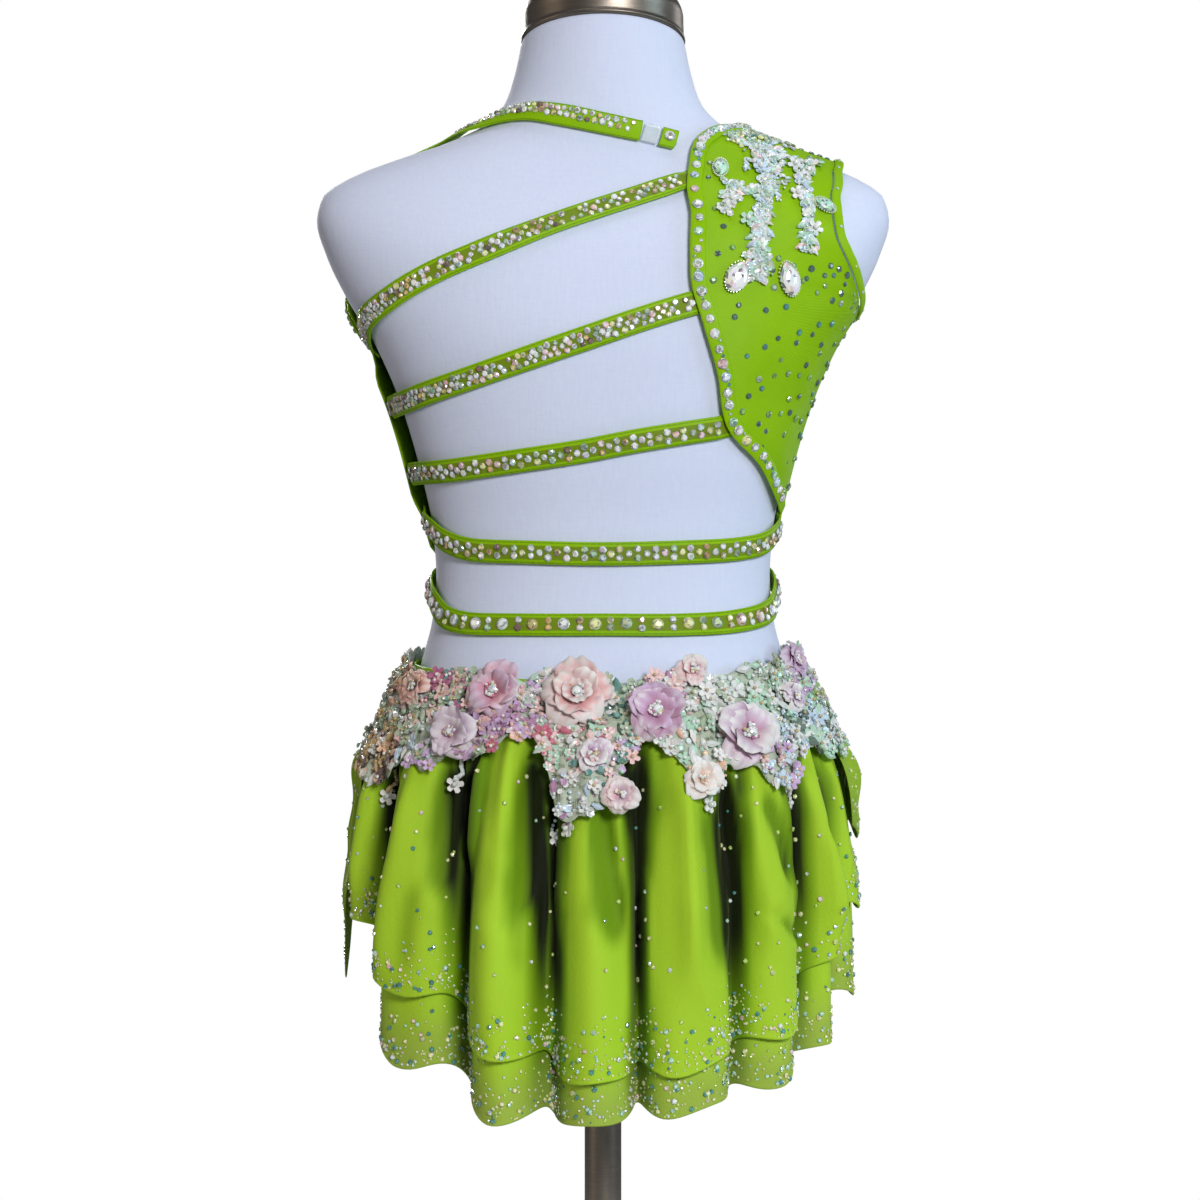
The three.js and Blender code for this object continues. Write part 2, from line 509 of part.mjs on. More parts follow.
// ---------------------------------------------------------------- trims
/** A flower of one piece: petals round a low centre, cupped towards the front. */
function flowerSolid(size) {
  const PER_PETAL = 3;
  const [rings, thick] = [2, 1.6];
  const count = PETALS * PER_PETAL;
  const at = (ring, j, top) => {
    const angle = (2 * Math.PI * j) / count;
    const lobe = 0.7 + 0.3 * Math.abs(Math.sin((PETALS * angle) / 2));
    const share = ring / rings;
    const radius = (size / 2) * share * (share === 1 ? lobe : 0.8);
    const cup = size * (0.06 + 0.2 * share ** 1.5 * lobe);
    return [radius * Math.cos(angle), radius * Math.sin(angle), top ? cup + thick : Math.max(0, cup - 1)];
  };
  const points = [[0, 0, size * 0.06 + thick], [0, 0, 0]];
  for (const top of [true, false])
    for (let r = 1; r <= rings; r += 1) for (let j = 0; j < count; j += 1) points.push(at(r, j, top));
  const id = (top, r, j) => 2 + (top ? 0 : rings * count) + (r - 1) * count + (j % count);
  const faces = [];
  for (let j = 0; j < count; j += 1) {
    faces.push(0, id(true, 1, j), id(true, 1, j + 1), 1, id(false, 1, j + 1), id(false, 1, j));
    const [a, b, c, d] = [id(true, 1, j), id(true, 1, j + 1), id(true, 2, j + 1), id(true, 2, j)];
    faces.push(a, c, b, a, d, c);
    const [e, f, g, h] = [id(false, 1, j), id(false, 1, j + 1), id(false, 2, j + 1), id(false, 2, j)];
    faces.push(e, f, g, e, g, h);
    faces.push(d, h, g, d, g, c);
  }
  const geometry = new THREE.BufferGeometry();
  geometry.setAttribute("position", new THREE.Float32BufferAttribute(points.flat(), 3));
  return geometry.setIndex(faces);
}

/** A faceted stone with a pointed outline: a girdle, a crown and a flat table. */
function stoneSolid(long, wide, high) {
  const count = 10;
  const outline = new THREE.Shape();
  for (let j = 0; j < count; j += 1) {
    const angle = (2 * Math.PI * j) / count;
    const taper = Math.abs(Math.sin(angle)) ** 1.25 * Math.sign(Math.sin(angle));
    outline[j ? "lineTo" : "moveTo"]((long / 2) * Math.cos(angle) * 0.72, (wide / 2) * taper * 0.72);
  }
  const bevel = { bevelEnabled: true, bevelSegments: 1, bevelThickness: high / 2, bevelSize: wide * 0.16 };
  return new THREE.ExtrudeGeometry(outline, { ...bevel, depth: 0.8, steps: 1, curveSegments: 1 });
}

/** Sets a mesh on a surface: its own Z points outward and its own X up the surface, leaned by an angle. */
function setOn(mesh, surface, { turn, z, lean = 0 }, lift) {
  const out = normalOf(surface, turn, z, 1);
  const round = surface(turn + 0.5, z).sub(surface(turn - 0.5, z)).normalize();
  const up = out.clone().cross(round);
  mesh.setRotationFromMatrix(new THREE.Matrix4().makeBasis(round, up, out));
  mesh.rotateZ(radians(90 + lean));
  mesh.position.copy(surface(turn, z).addScaledVector(out, lift));
  return mesh;
}

// ---------------------------------------------------------------- materials
const finish = (color, roughness, metalness = 0) =>
  new THREE.MeshStandardMaterial({ color, roughness, metalness });
const MATERIALS = {
  stretch: finish(0x86c40a, 0.45),
  chiffon: finish(0x8fc020, 0.7),
  lace: finish(0xd8e2e0, 0.5),
  petal: finish(0xe7a8bd, 0.6),
  crystal: finish(0xe8ecf2, 0.08, 0.3),
  clasp: finish(0xdfe8ee, 0.2),
  linen: finish(0xd3daf0, 0.85),
  steel: finish(0x8f8c88, 0.3, 0.9),
};

// ---------------------------------------------------------------- assembly
const costume = new THREE.Group();
function add(name, geometry, material) {
  const mesh = new THREE.Mesh(geometry, MATERIALS[material]);
  mesh.name = name;
  costume.add(mesh);
  return mesh;
}

function addStand() {
  const { radius, thick, bevel, bossRadius, bossHeight, sides } = BASE;
  const profile = [
    [0, 0], [radius, 0], [radius, thick - bevel], [radius - bevel, thick], [bossRadius + 1, thick],
    [bossRadius, thick + 1], [bossRadius, bossHeight], [0, bossHeight],
  ].map(([r, z]) => new THREE.Vector2(r, z));
  add("stand_base", new THREE.LatheGeometry(profile, sides), "steel").rotateX(Math.PI / 2);
  const length = FORM_BOTTOM - bossHeight - 2 * SEAM;
  const pole = add("stand_pole", new THREE.CylinderGeometry(POLE_RADIUS, POLE_RADIUS, length, 20), "steel");
  pole.rotateX(Math.PI / 2);
  pole.position.z = bossHeight + SEAM + length / 2;
}

function addForm() {
  const SIDES = 32;
  const heights = [
    FORM_BOTTOM, 312, 362, 400, 424, 441, 456, 470, 485, 505, 530, 560, 590, 617, 641, 659, 673, 685, 694,
    702, 709, 715, 721, 728, 738, 754, NECK_TOP,
  ];
  add("dress_form", solidOfRings(heights, SIDES, onForm), "linen");
  const cap = columns(CAP_RINGS, RING_COLUMNS);
  const rings = CAP_RINGS.map((row) => row.z);
  add("neck_cap", solidOfRings(rings, 28, (turn, z) => ringPoint(cap, turn, z)), "steel");
}

function addBodice() {
  const looseLeft = (turn, z) =>
    AIR + EDGE_STANDS_OFF * smooth((turn - 252) / 20) * smooth((z - 492) / 24) * smooth((598 - z) / 16);
  add("front_bodice", panel(FRONT_SECTIONS, 24, 20, looseLeft), "stretch");
  add("back_shoulder_panel", panel(BACK_SECTIONS, 16, 6), "stretch");
  const band = { width: 9, lift: ON_CLOTH, thick: TRIM, steps: 34 };
  add("back_edge_binding", ribbon(BACK_EDGE, { ...band, shift: -2.2 }), "stretch");
  add("neckline_binding", ribbon(NECKLINE, { ...band, width: 7, shift: -3.9, steps: 28 }), "stretch");
  const loop = { width: 5.5, lift: ON_CLOTH, thick: TRIM, steps: 34, shift: -3.2, closed: true };
  add("armhole_binding", ribbon(ARMHOLE, loop), "stretch");
}

function addStraps() {
  const leftEndRises = (t) => AIR + EDGE_STANDS_OFF * smooth((0.12 - t) / 0.12);
  for (const [name, path] of Object.entries(STRAPS)) {
    const atWaist = path[0].turn < -90;
    const shape = { width: STRAP_WIDTH, thick: STRETCH, steps: atWaist ? 30 : 20 };
    add(name, ribbon(path, { ...shape, lift: atWaist ? AIR : leftEndRises }), "stretch");
  }
  const narrow = { width: 13, lift: AIR, thick: STRETCH };
  add("neck_band", ribbon(NECK_BAND, { ...narrow, steps: 24 }), "stretch");
  add("neck_clasp", ribbon(NECK_CLASP, { ...narrow, width: 12, steps: 2, thick: 1.2 }), "clasp");
  add("neck_tab", ribbon(NECK_TAB, { ...narrow, width: 13, steps: 2 }), "stretch");
}

function addSkirt() {
  const yokeSide = (lift) => (i, j) => {
    const turn = 10 * j;
    return lifted(onForm, turn, THREE.MathUtils.lerp(YOKE_LOW, waistline(turn), i / 2), lift);
  };
  add("hip_yoke", wall(2, 36, yokeSide(AIR + STRETCH), yokeSide(AIR), true), "stretch");
  const back = foldTurns("back");
  const front = foldTurns("front");
  const upperHem = (turn) => hemHeight(turn, "upper");
  const lowerHem = (turn) => hemHeight(turn, "lower");
  const lowerTop = () => LOWER_TIER_TOP;
  const { upperBack, upperFront, lowerBack, lowerFront } = TIER_ROWS;
  add("upper_tier_back", hung(onSkirt, back, tierHeights(upperBack, upperTop, upperHem)), "chiffon");
  add("upper_tier_front", hung(onSkirt, front, tierHeights(upperFront, upperTop, upperHem)), "chiffon");
  add("lower_tier_back", hung(onLowerTier, back, tierHeights(lowerBack, lowerTop, lowerHem)), "chiffon");
  add("lower_tier_front", hung(onLowerTier, front, tierHeights(lowerFront, lowerTop, lowerHem)), "chiffon");
  const leftLows = [
    { share: 0, z: 268 }, { share: 0.3, z: 262 }, { share: 0.52, z: 222 }, { share: 0.68, z: 256 },
    { share: 1, z: 290 },
  ];
  const leftDrape = { from: -116, to: -76, high: 398, lows: leftLows, over: 5.5, lobes: LEFT_LOBES };
  add("left_hip_drape", hipDrape(leftDrape), "chiffon");
  const rightLows = [{ share: 0, z: 316 }, { share: 0.5, z: 306 }, { share: 1, z: 330 }];
  const rightDrape = { from: 74, to: 112, high: 400, lows: rightLows, over: 9, lobes: RIGHT_LOBES };
  add("right_hip_drape", hipDrape(rightDrape), "chiffon");
}

function addTrims() {
  const narrows = (width) => (t) => width * (1 - 0.45 * t);
  for (const [name, { width, path }] of Object.entries(SPRAYS))
    add(name, ribbon(path, { width: narrows(width), lift: ON_CLOTH, thick: 2, steps: 10 }), "lace");
  for (const [name, stone] of Object.entries(SET_STONES))
    setOn(add(name, stoneSolid(stone.long, stone.wide, 3.4), "crystal"), onForm, stone, ON_CLOTH + 2.2);

  const edge = columns(LACE_EDGES, ["high", "low"], "turn");
  for (const where of ["back", "front"]) {
    const heights = (turn) => {
      const [low, high, top] = [edge.low(turn), edge.high(turn), upperTop(turn) + 1];
      return [low, THREE.MathUtils.lerp(low, top, 0.55), top, high];
    };
    add(`hip_lace_${where}`, hung(onLace, foldTurns(where), heights, { outer: TRIM, inner: 0 }), "lace");
  }
  FLOWERS.forEach((flower, i) => {
    const mesh = add(`flower_${i + 1}`, flowerSolid(flower.size), "petal");
    const stand = skirt.fold(flower.z) * 12 + TRIM + SEAM + 1.4;
    setOn(mesh, skirtRing, flower, stand);
  });
}

addStand();
addForm();
addBodice();
addStraps();
addSkirt();
addTrims();

export default costume;
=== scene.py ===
"""The looks of a lyrical dance costume in a child's size, worn by a limbless dress form on a countertop stand.

Sizes are millimetres until a mesh is made, and angles are degrees. +Z is up, -Y is the back of the costume and
+X the wearer's right. Cloth is laid out by turn and height: turn 0 is the centre back, 90 the wearer's right
side, 180 the centre front and -90 (or 270) the left side.
"""

import logging
import math
from collections.abc import Callable, Sequence
from dataclasses import dataclass, field
from enum import Enum

import bpy
import numpy as np
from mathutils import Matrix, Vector


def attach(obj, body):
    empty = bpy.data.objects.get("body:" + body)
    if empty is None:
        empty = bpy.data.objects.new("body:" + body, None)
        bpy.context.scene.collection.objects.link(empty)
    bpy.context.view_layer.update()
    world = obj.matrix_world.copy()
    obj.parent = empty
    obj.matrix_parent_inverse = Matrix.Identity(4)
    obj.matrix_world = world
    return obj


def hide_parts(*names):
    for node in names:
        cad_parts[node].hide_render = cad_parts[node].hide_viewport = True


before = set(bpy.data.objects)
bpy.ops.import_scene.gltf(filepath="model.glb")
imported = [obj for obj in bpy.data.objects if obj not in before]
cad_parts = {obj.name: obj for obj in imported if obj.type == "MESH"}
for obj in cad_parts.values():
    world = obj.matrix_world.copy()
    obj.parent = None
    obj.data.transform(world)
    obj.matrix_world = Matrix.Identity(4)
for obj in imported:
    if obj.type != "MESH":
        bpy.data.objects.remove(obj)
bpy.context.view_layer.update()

LOG = logging.getLogger("costume")
BODY = "root"
MM = 0.001

Material = bpy.types.Material
Piece = bpy.types.Object
Array = np.ndarray
Height = Callable[[Array], Array]  # a height for each turn
Surface = Callable[[Array, Array], Array]  # a point for each turn and height
Colour = tuple[float, float, float]
Place = tuple[float, float]

AIR = 2.8  # between the form and the cloth on it
STRETCH = 1.5  # wall of the bodice and the straps
TRIM = 1.3  # wall of bindings and lace
SEAM = 0.4
SUNK = 0.1  # how far a stone is pressed into what it is glued on
ON_CLOTH = AIR + STRETCH + SEAM
CHIFFON = 1.2
TIER_INSET = 4.6
FORM_ROUND = 72.0  # once round the form on the cut cloth, in centimetres
YOKE_LOW = 356.0
LOWER_TIER_TOP = 366.0
HANG_BELOW_WAIST = 13.0
RIGHT_SEAM, LEFT_SEAM = 86.0, 281.0  # where the skirt's back and front are joined
SIDE_GAP = 0.12  # from a side seam to the cloth beside it, in degrees


# ---------------------------------------------------------------- small helpers
def smooth(x: Array | float) -> Array:
    """An ease from 0 to 1 while x does the same."""
    t = np.clip(x, 0.0, 1.0)
    return t * t * (3 - 2 * t)


def lerp(a: Array | float, b: Array | float, t: Array | float) -> Array:
    """The value a share t of the way from a to b."""
    return a + (b - a) * t


def paint(red: int, green: int, blue: int) -> Colour:
    """A display colour from 0 to 255, made linear for a shader."""
    return tuple(((c / 255 + 0.055) / 1.055) ** 2.4 if c > 10 else c / 255 / 12.92 for c in (red, green, blue))


def spread(*values: Array | float) -> list[Array]:
    """The values as arrays of one shape."""
    return np.broadcast_arrays(*(np.asarray(value, float) for value in values))


def paired(*values: Array) -> Array:
    """The values side by side, as places or points."""
    return np.stack(np.broadcast_arrays(*values), -1)


def edged(count: int, length: float, near: Sequence[float] = (0.25, 0.6, 1.2, 2.2)) -> Array:
    """Shares of a length that crowd at both ends, so that an edge can be rounded.

    Args:
        count: Even steps between the two crowded ends.
        length: The whole length.
        near: Distances from an end of the extra rows.

    Returns:
        Rising shares from 0 to 1.
    """
    ends = np.array(near) / length
    middle = np.linspace(near[-1] * 1.8 / length, 1 - near[-1] * 1.8 / length, count + 1)
    return np.concatenate([[0.0], ends, middle, (1 - ends)[::-1], [1.0]])


def rolled(distance: Array, radius: float) -> Array:
    """The share of full thickness at a distance from a rounded edge."""
    t = np.clip(distance / radius, 0.0, 1.0)
    return np.maximum(np.sqrt(1 - (1 - t) ** 2), 0.12)


class Column:
    """A value that changes smoothly between the rows of a table, with no overshoot."""

    def __init__(self, at: Sequence[float], value: Sequence[float]) -> None:
        """Works out the slope at each row.

        Args:
            at: Where the rows are, rising.
            value: The value at each row.
        """
        self.at, self.value = np.array(at, float), np.array(value, float)
        rise = np.diff(self.value) / np.diff(self.at)
        before, after = rise[:-1], rise[1:]
        same = before * after > 0
        inner = np.where(same, 2 * before * after / np.where(same, before + after, 1.0), 0.0)
        self.slope = np.concatenate([rise[:1], inner, rise[-1:]])

    def __call__(self, query: Array | float) -> Array:
        """The value at each place.

        Args:
            query: The places.

        Returns:
            Their values.
        """
        q = np.clip(query, self.at[0], self.at[-1])
        i = np.clip(np.searchsorted(self.at, q) - 1, 0, len(self.at) - 2)
        span = self.at[i + 1] - self.at[i]
        t = (q - self.at[i]) / span
        ease = t * t * (3 - 2 * t)
        start = t * (1 - t) ** 2 * span * self.slope[i]
        end = t * t * (t - 1) * span * self.slope[i + 1]
        return self.value[i] * (1 - ease) + self.value[i + 1] * ease + start + end


class Line:
    """A smooth line through a table of turns and heights, read by its rows or by its length."""

    MM_A_DEGREE = 2.0

    def __init__(self, table: Sequence[Place], closed: bool = False) -> None:
        """Runs a centripetal curve through the table.

        Args:
            table: Turn and height of each point.
            closed: Whether the line comes back to its start.
        """
        p = np.array([(turn * self.MM_A_DEGREE, z) for turn, z in table], float)
        count = len(p) if closed else len(p) - 1
        if closed:
            p = np.concatenate([p[-1:], p, p[:2]])
        else:
            p = np.concatenate([2 * p[:1] - p[1:2], p, 2 * p[-1:] - p[-2:-1]])
        dense, share = [], []
        t = np.linspace(0, 1, 41)[:, None]
        for i in range(count):
            p0, p1, p2, p3 = p[i : i + 4]
            d0, d1, d2 = (max(np.linalg.norm(b - a) ** 0.5, 1e-4) for a, b in ((p0, p1), (p1, p2), (p2, p3)))
            m1 = ((p1 - p0) / d0 - (p2 - p0) / (d0 + d1) + (p2 - p1) / d1) * d1
            m2 = ((p2 - p1) / d1 - (p3 - p1) / (d1 + d2) + (p3 - p2) / d2) * d1
            curve = p1 + m1 * t + (-3 * p1 + 3 * p2 - 2 * m1 - m2) * t**2 + (2 * p1 - 2 * p2 + m1 + m2) * t**3
            last = i == count - 1
            dense.append(curve if last else curve[:-1])
            share.append((i + (t if last else t[:-1])[:, 0]) / count)
        self.points, self.share = np.concatenate(dense), np.concatenate(share)
        steps = np.linalg.norm(np.diff(self.points, axis=0), axis=1)
        self.run = np.concatenate([[0.0], np.cumsum(steps)])

    def _read(self, scale: Array, at: Array) -> tuple[Array, Array]:
        """Turn and height where a rising scale of the line has the values `at`."""
        x, z = (np.interp(at, scale, self.points[:, k]) for k in (0, 1))
        return x / self.MM_A_DEGREE, z

    def by_row(self, t: Array) -> tuple[Array, Array]:
        """Turn and height at a share of the table's rows."""
        return self._read(self.share, t)

    def by_length(self, t: Array) -> tuple[Array, Array]:
        """Turn and height at a share of the line's length."""
        return self._read(self.run / self.run[-1], t)


# ---------------------------------------------------------------- surfaces
def ring_point(turn: Array, z: Array, ring: Sequence[Array]) -> Array:
    """A point of a squared ellipse that is deeper behind or in front and leans forward at the neck.

    Args:
        turn: Turn round the ring.
        z: Its height.
        ring: Half width, depth behind, depth in front, middle, squareness and lean.

    Returns:
        Points, one for each turn.
    """
    half, back, front, mid, corner, lean = ring
    s, c = np.sin(np.radians(turn)), np.cos(np.radians(turn))
    reach = (np.abs(s) ** corner + np.abs(c) ** corner) ** (-1 / corner)
    y = np.where(c > 0, -back, -front) * reach * c
    return np.stack([half * reach * s, mid + y, z - lean * y], -1)


def normal_of(surface: Surface, turn: Array, z: Array, step: float = 0.4) -> Array:
    """The outward normal of a surface laid out by turn and height."""
    n = np.cross(surface(turn + step, z) - surface(turn - step, z), surface(turn, z + step) - surface(turn, z - step))
    return n / np.linalg.norm(n, axis=-1, keepdims=True)


def lifted(surface: Surface, turn: Array, z: Array, lift: Array | float, step: float = 0.4) -> Array:
    """Points at a distance outside a surface."""
    turn, z, lift = np.broadcast_arrays(turn, z, lift)
    return surface(turn, z) + normal_of(surface, turn, z, step) * lift[..., None]


class RingStack:
    """A shape through horizontal rings, whose sizes change smoothly with height."""

    def __init__(self, rows: Sequence[Sequence[float]]) -> None:
        """Takes rows of height, half width, back, front, middle, squareness and lean."""
        table = np.array(rows, float)
        self.columns = [Column(table[:, 0], table[:, k]) for k in range(1, 7)]

    def __call__(self, turn: Array, z: Array) -> Array:
        """Points at each turn and height."""
        turn, z = spread(turn, z)
        return ring_point(turn, z, [column(z) for column in self.columns])


FORM = RingStack(
    (
        (262, 120, 84, 79, 0, 2.3, 0), (320, 123, 87, 81, 0, 2.3, 0), (375, 118, 84, 79, 0, 2.3, 0),
        (412, 109, 76, 77, 0, 2.3, 0), (440, 102, 68, 74, 1, 2.3, 0), (464, 100, 66, 73, 2, 2.3, 0),
        (492, 102, 68, 75, 2, 2.3, 0), (530, 110, 74, 80, 0, 2.4, 0), (570, 122, 80, 84, -2, 2.5, 0),
        (600, 135, 82, 82, -4, 2.6, 0), (630, 153, 78, 76, -5, 2.7, 0), (655, 165, 72, 68, -5, 2.8, 0),
        (676, 171, 62, 58, -4, 2.7, 0), (690, 168, 54, 50, -3, 2.5, 0), (702, 152, 47, 45, -1, 2.4, 0),
        (713, 125, 43, 43, 1, 2.3, 0), (724, 93, 42, 43, 3, 2.2, 0), (735, 71, 43, 44, 5, 2.1, 0.02),
        (748, 59, 43, 44, 7, 2.0, 0.1), (766, 53, 42, 43, 9, 2.0, 0.22), (785, 49, 41, 42, 11, 2.0, 0.3),
    )
)
CAP = RingStack(
    (
        (785.4, 49.8, 41.8, 42.8, 11, 2, 0.3), (800, 49.2, 41.6, 42.6, 11, 2, 0.26),
        (808, 46.6, 39, 40, 11, 2, 0.22), (813, 41, 33, 34, 11, 2, 0.18), (817, 20, 16, 16, 11, 2, 0.1),
    )
)


@dataclass(frozen=True)
class Crease:
    """A soft ridge or trough that runs between two places of a cloth and fades at its ends."""

    start: Place
    end: Place
    wide: float
    high: float
    bend: float = 0.0

    def height(self, turn: Array, z: Array) -> Array:
        """How far the cloth stands out, negative in a trough.

        Args:
            turn: Turns of the cloth.
            z: Heights of the cloth.

        Returns:
            Lifts in millimetres.
        """
        a, b = (np.array((p[0] * Line.MM_A_DEGREE, p[1])) for p in (self.start, self.end))
        run = b - a
        length = float(np.hypot(*run))
        x, y = turn * Line.MM_A_DEGREE - a[0], z - a[1]
        t = np.clip((x * run[0] + y * run[1]) / length**2, 0, 1)
        side = (x * run[1] - y * run[0]) / length - self.bend * 4 * t * (1 - t)
        return self.high * np.exp(-((side / self.wide) ** 2)) * smooth(t / 0.3) * smooth((1 - t) / 0.3)


def creased(*rows: Sequence[float]) -> tuple[Crease, ...]:
    """Creases from rows of the turn and height of both ends, then the width, the height and the bend."""
    return tuple(Crease(row[:2], row[2:4], *row[4:]) for row in rows)


def waistline(turn: Array) -> Array:
    """The height of the skirt's upper edge, lower behind."""
    return 398 + 19 * ((1 - np.cos(np.radians(turn))) / 2) ** 0.4


def upper_top(turn: Array) -> Array:
    """The height at which the upper tier is gathered on the yoke."""
    return waistline(turn) - HANG_BELOW_WAIST


def lower_top(turn: Array) -> Array:
    """The height at which the lower tier is sewn on under the upper one."""
    return LOWER_TIER_TOP + 0 * turn


class Tier(Enum):
    """The skirt's two layers, with the column of the fold table that holds each one's hem."""

    UPPER = 2
    LOWER = 3


@dataclass
class SkirtShape:
    """The surface that the skirt hangs on: rings that stand off the form, folds, creases and gathers.

    A row of `rings` is a height, how far the folds' middle hangs from the form at the sides and behind and in
    front, and how far the folds have opened. A row of `folds` is the turn of the valley that it starts at, how
    deep that is, and the height of both tiers' hems on the ridge that follows.
    """

    rings: tuple[tuple[float, ...], ...] = (
        (140, 26, 35, 1.08), (270, 23, 29, 1.0), (320, 18, 24, 0.78), (348, 16.6, 19, 0.52),
        (372, 11.5, 13.5, 0.3), (398, 7.6, 8.5, 0.14), (420, 5.8, 6, 0.08),
    )
    folds: tuple[tuple[float, ...], ...] = (
        (-79, 12, 266, 272), (-63, 21, 226, 184), (-34, 27, 190, 154), (-12, 27, 176, 152), (8, 28, 183, 159),
        (31, 17, 201, 173), (51, 20, 243, 192), (66, 17, 270, 219), (86, 20, 280, 227), (105, 18, 283, 234),
        (125, 21, 286, 239), (144, 23, 287, 242), (165, 24, 288, 243), (183, 23, 287, 243), (204, 24, 286, 243),
        (223, 21, 285, 246), (244, 11, 280, 256), (263, 6, 272, 266), (281, 12, 266, 272),
    )
    # ridges and troughs inside the folds, from top to bottom
    creases: tuple[Crease, ...] = creased(
        (-69, 366, -70, 268, 3.4, 3.4, 1), (-57, 360, -58, 246, 3.6, -4.6, -2), (-47, 362, -52, 214, 4.4, 3.2, 1),
        (-41, 362, -42, 268, 4.4, -5.2, 1), (-36, 352, -38, 196, 4.2, 3.0), (-28.5, 372, -30.5, 288, 3.2, 5.6, 1),
        (-18.5, 370, -19.5, 262, 3.6, -6.0, 1.5), (-14.5, 372, -14, 204, 3.4, 3.8, -1),
        (-25, 340, -24, 186, 5.5, 3.0, 1), (-9.5, 366, -8.5, 236, 3.0, 2.6), (-1.5, 350, 1.0, 246, 4.0, -5.6, -1),
        (5, 340, 4.5, 186, 4.0, 3.0), (11.5, 362, 12.5, 190, 4.0, 2.8, 1), (18.5, 366, 18.5, 214, 3.0, 4.4, -1),
        (24, 350, 25, 226, 6.0, -4.0), (34, 352, 39, 236, 5.0, 4.0, -2), (40, 344, 45, 280, 4.2, -4.6, -1),
        (37, 276, 50, 250, 3.6, -2.6, 2), (44, 262, 52, 226, 3.6, 2.4, -1), (45.5, 352, 48, 254, 3.2, 4.0, 1),
        (56, 356, 59, 240, 3.2, 4.2), (60.5, 372, 61, 300, 2.6, -4.2, 1), (70, 372, 73, 268, 3.4, 4.0, -1),
        (78, 366, 80, 286, 3.6, -4.0), (92, 368, 91, 300, 3.6, 3.2), (99, 372, 97, 296, 3.8, -4.2, 1),
        (111, 370, 113, 300, 4.2, 3.2), (118, 366, 119, 304, 3.8, -4.0, -1), (131, 372, 133, 300, 4.4, 3.4),
        (137, 364, 136, 298, 4.0, -4.6, 1), (151, 370, 149, 298, 4.4, 3.4), (158, 368, 159, 302, 4.2, -4.4, -1),
        (171, 366, 170, 296, 4.2, 3.6), (177, 372, 178, 306, 4.0, -4.4), (189, 368, 191, 300, 4.4, 3.0),
        (197, 370, 196, 296, 4.2, -5.0, 1), (211, 366, 209, 298, 4.4, 3.4), (217, 372, 218, 304, 4.0, -3.8, -1),
        (230, 368, 231, 296, 4.2, 3.6), (237, 366, 236, 300, 4.0, -4.6, 1), (251, 370, 250, 300, 3.8, 3.0),
        (257, 366, 258, 292, 3.8, -4.0), (270, 368, 269, 300, 3.6, 3.2), (275, 364, 274, 296, 3.4, -3.4, 1),
    )
    fine_count: int = 84
    fine: list[Crease] = field(default_factory=list)
    columns: list[Column] = field(init=False)

    def __post_init__(self) -> None:
        """Reads the ring table into columns."""
        table = np.array(self.rings, float)
        self.columns = [Column(table[:, 0], table[:, k]) for k in (1, 2, 3)]
        rng = np.random.default_rng(7)
        for turn in rng.uniform(-78, 280, self.fine_count):
            top, lean = rng.uniform(290, 362), rng.uniform(-4, 4)
            end = (turn + lean, top - rng.uniform(38, 100))
            high = rng.uniform(1.6, 3.4) * rng.choice((-1, 1))
            self.fine.append(Crease((turn, top), end, rng.uniform(2.4, 4.6), high, rng.uniform(-2, 2)))

    def ring(self, turn: Array, z: Array) -> Array:
        """The ring that the middle of the folds follows.

        Args:
            turn: Turns.
            z: Heights.

        Returns:
            Points.
        """
        turn, z = spread(turn, z)
        held = np.maximum(z, 300)
        half, back, front, mid, _, _ = (column(held) for column in FORM.columns)
        side, fore = self.columns[0](z), self.columns[1](z)
        return ring_point(turn, z, (half + side, back + fore, front + fore, mid, 2.25, 0.0))

    def opened(self, z: Array) -> Array:
        """The share of each fold's full depth at a height."""
        return self.columns[2](z)

    def fold_at(self, turn: Array) -> tuple[Array, Array, Array]:
        """Finds the fold that a turn is in.

        Args:
            turn: Turns.

        Returns:
            The fold, the share of the way through it and its width.
        """
        start = np.array([row[0] for row in self.folds])
        turned = np.mod(turn - start[0], 360) + start[0]
        i = np.clip(np.searchsorted(start, turned, side="right") - 1, 0, len(start) - 2)
        width = start[i + 1] - start[i]
        return i, (turned - start[i]) / width, width

    def fold_height(self, turn: Array, z: Array, follow: float = 1.0) -> Array:
        """How far a fold stands out of the ring, negative in a valley, followed to a share."""
        i, share, _ = self.fold_at(turn)
        deep = np.array([row[1] for row in self.folds])
        return self.opened(z) * lerp(deep[i], deep[i + 1], share) * (0.5 - follow * self.valley(turn, z))

    def valley(self, turn: Array, z: Array) -> Array:
        """How far a place is down between two ridges, from 0 to 1; the ridges broaden as they fall."""
        _, share, _ = self.fold_at(turn)
        lean = 0.05 * np.sin(2 * np.pi * share) * np.sin(np.radians(turn * 5.3))
        return np.abs(np.cos(np.pi * (share + lean))) ** lerp(2.0, 1.2, smooth((z - 225) / 120))

    def hem(self, turn: Array, tier: Tier) -> Array:
        """A hem's height: each ridge has its own, and the valleys between them are drawn up a little.

        Args:
            turn: Turns.
            tier: Whose hem.

        Returns:
            Heights.
        """
        i, share, _ = self.fold_at(turn)
        level = np.array([row[tier.value] for row in self.folds[:-1]])
        count = len(level)
        neighbour = np.where(share < 0.5, level[(i - 1) % count], level[(i + 1) % count])
        neighbour = np.where((share >= 0.5) & (i == count - 1), level[0], neighbour)
        to_ridge = smooth(0.5 + np.minimum(share, 1 - share))
        wave = 2.4 * np.sin(np.radians(turn * 17)) + 1.8 * np.sin(np.radians(turn * 29 + 70 + 40 * tier.value))
        return level[i] * to_ridge + neighbour * (1 - to_ridge) + 4 * np.cos(np.pi * share) ** 2 + wave

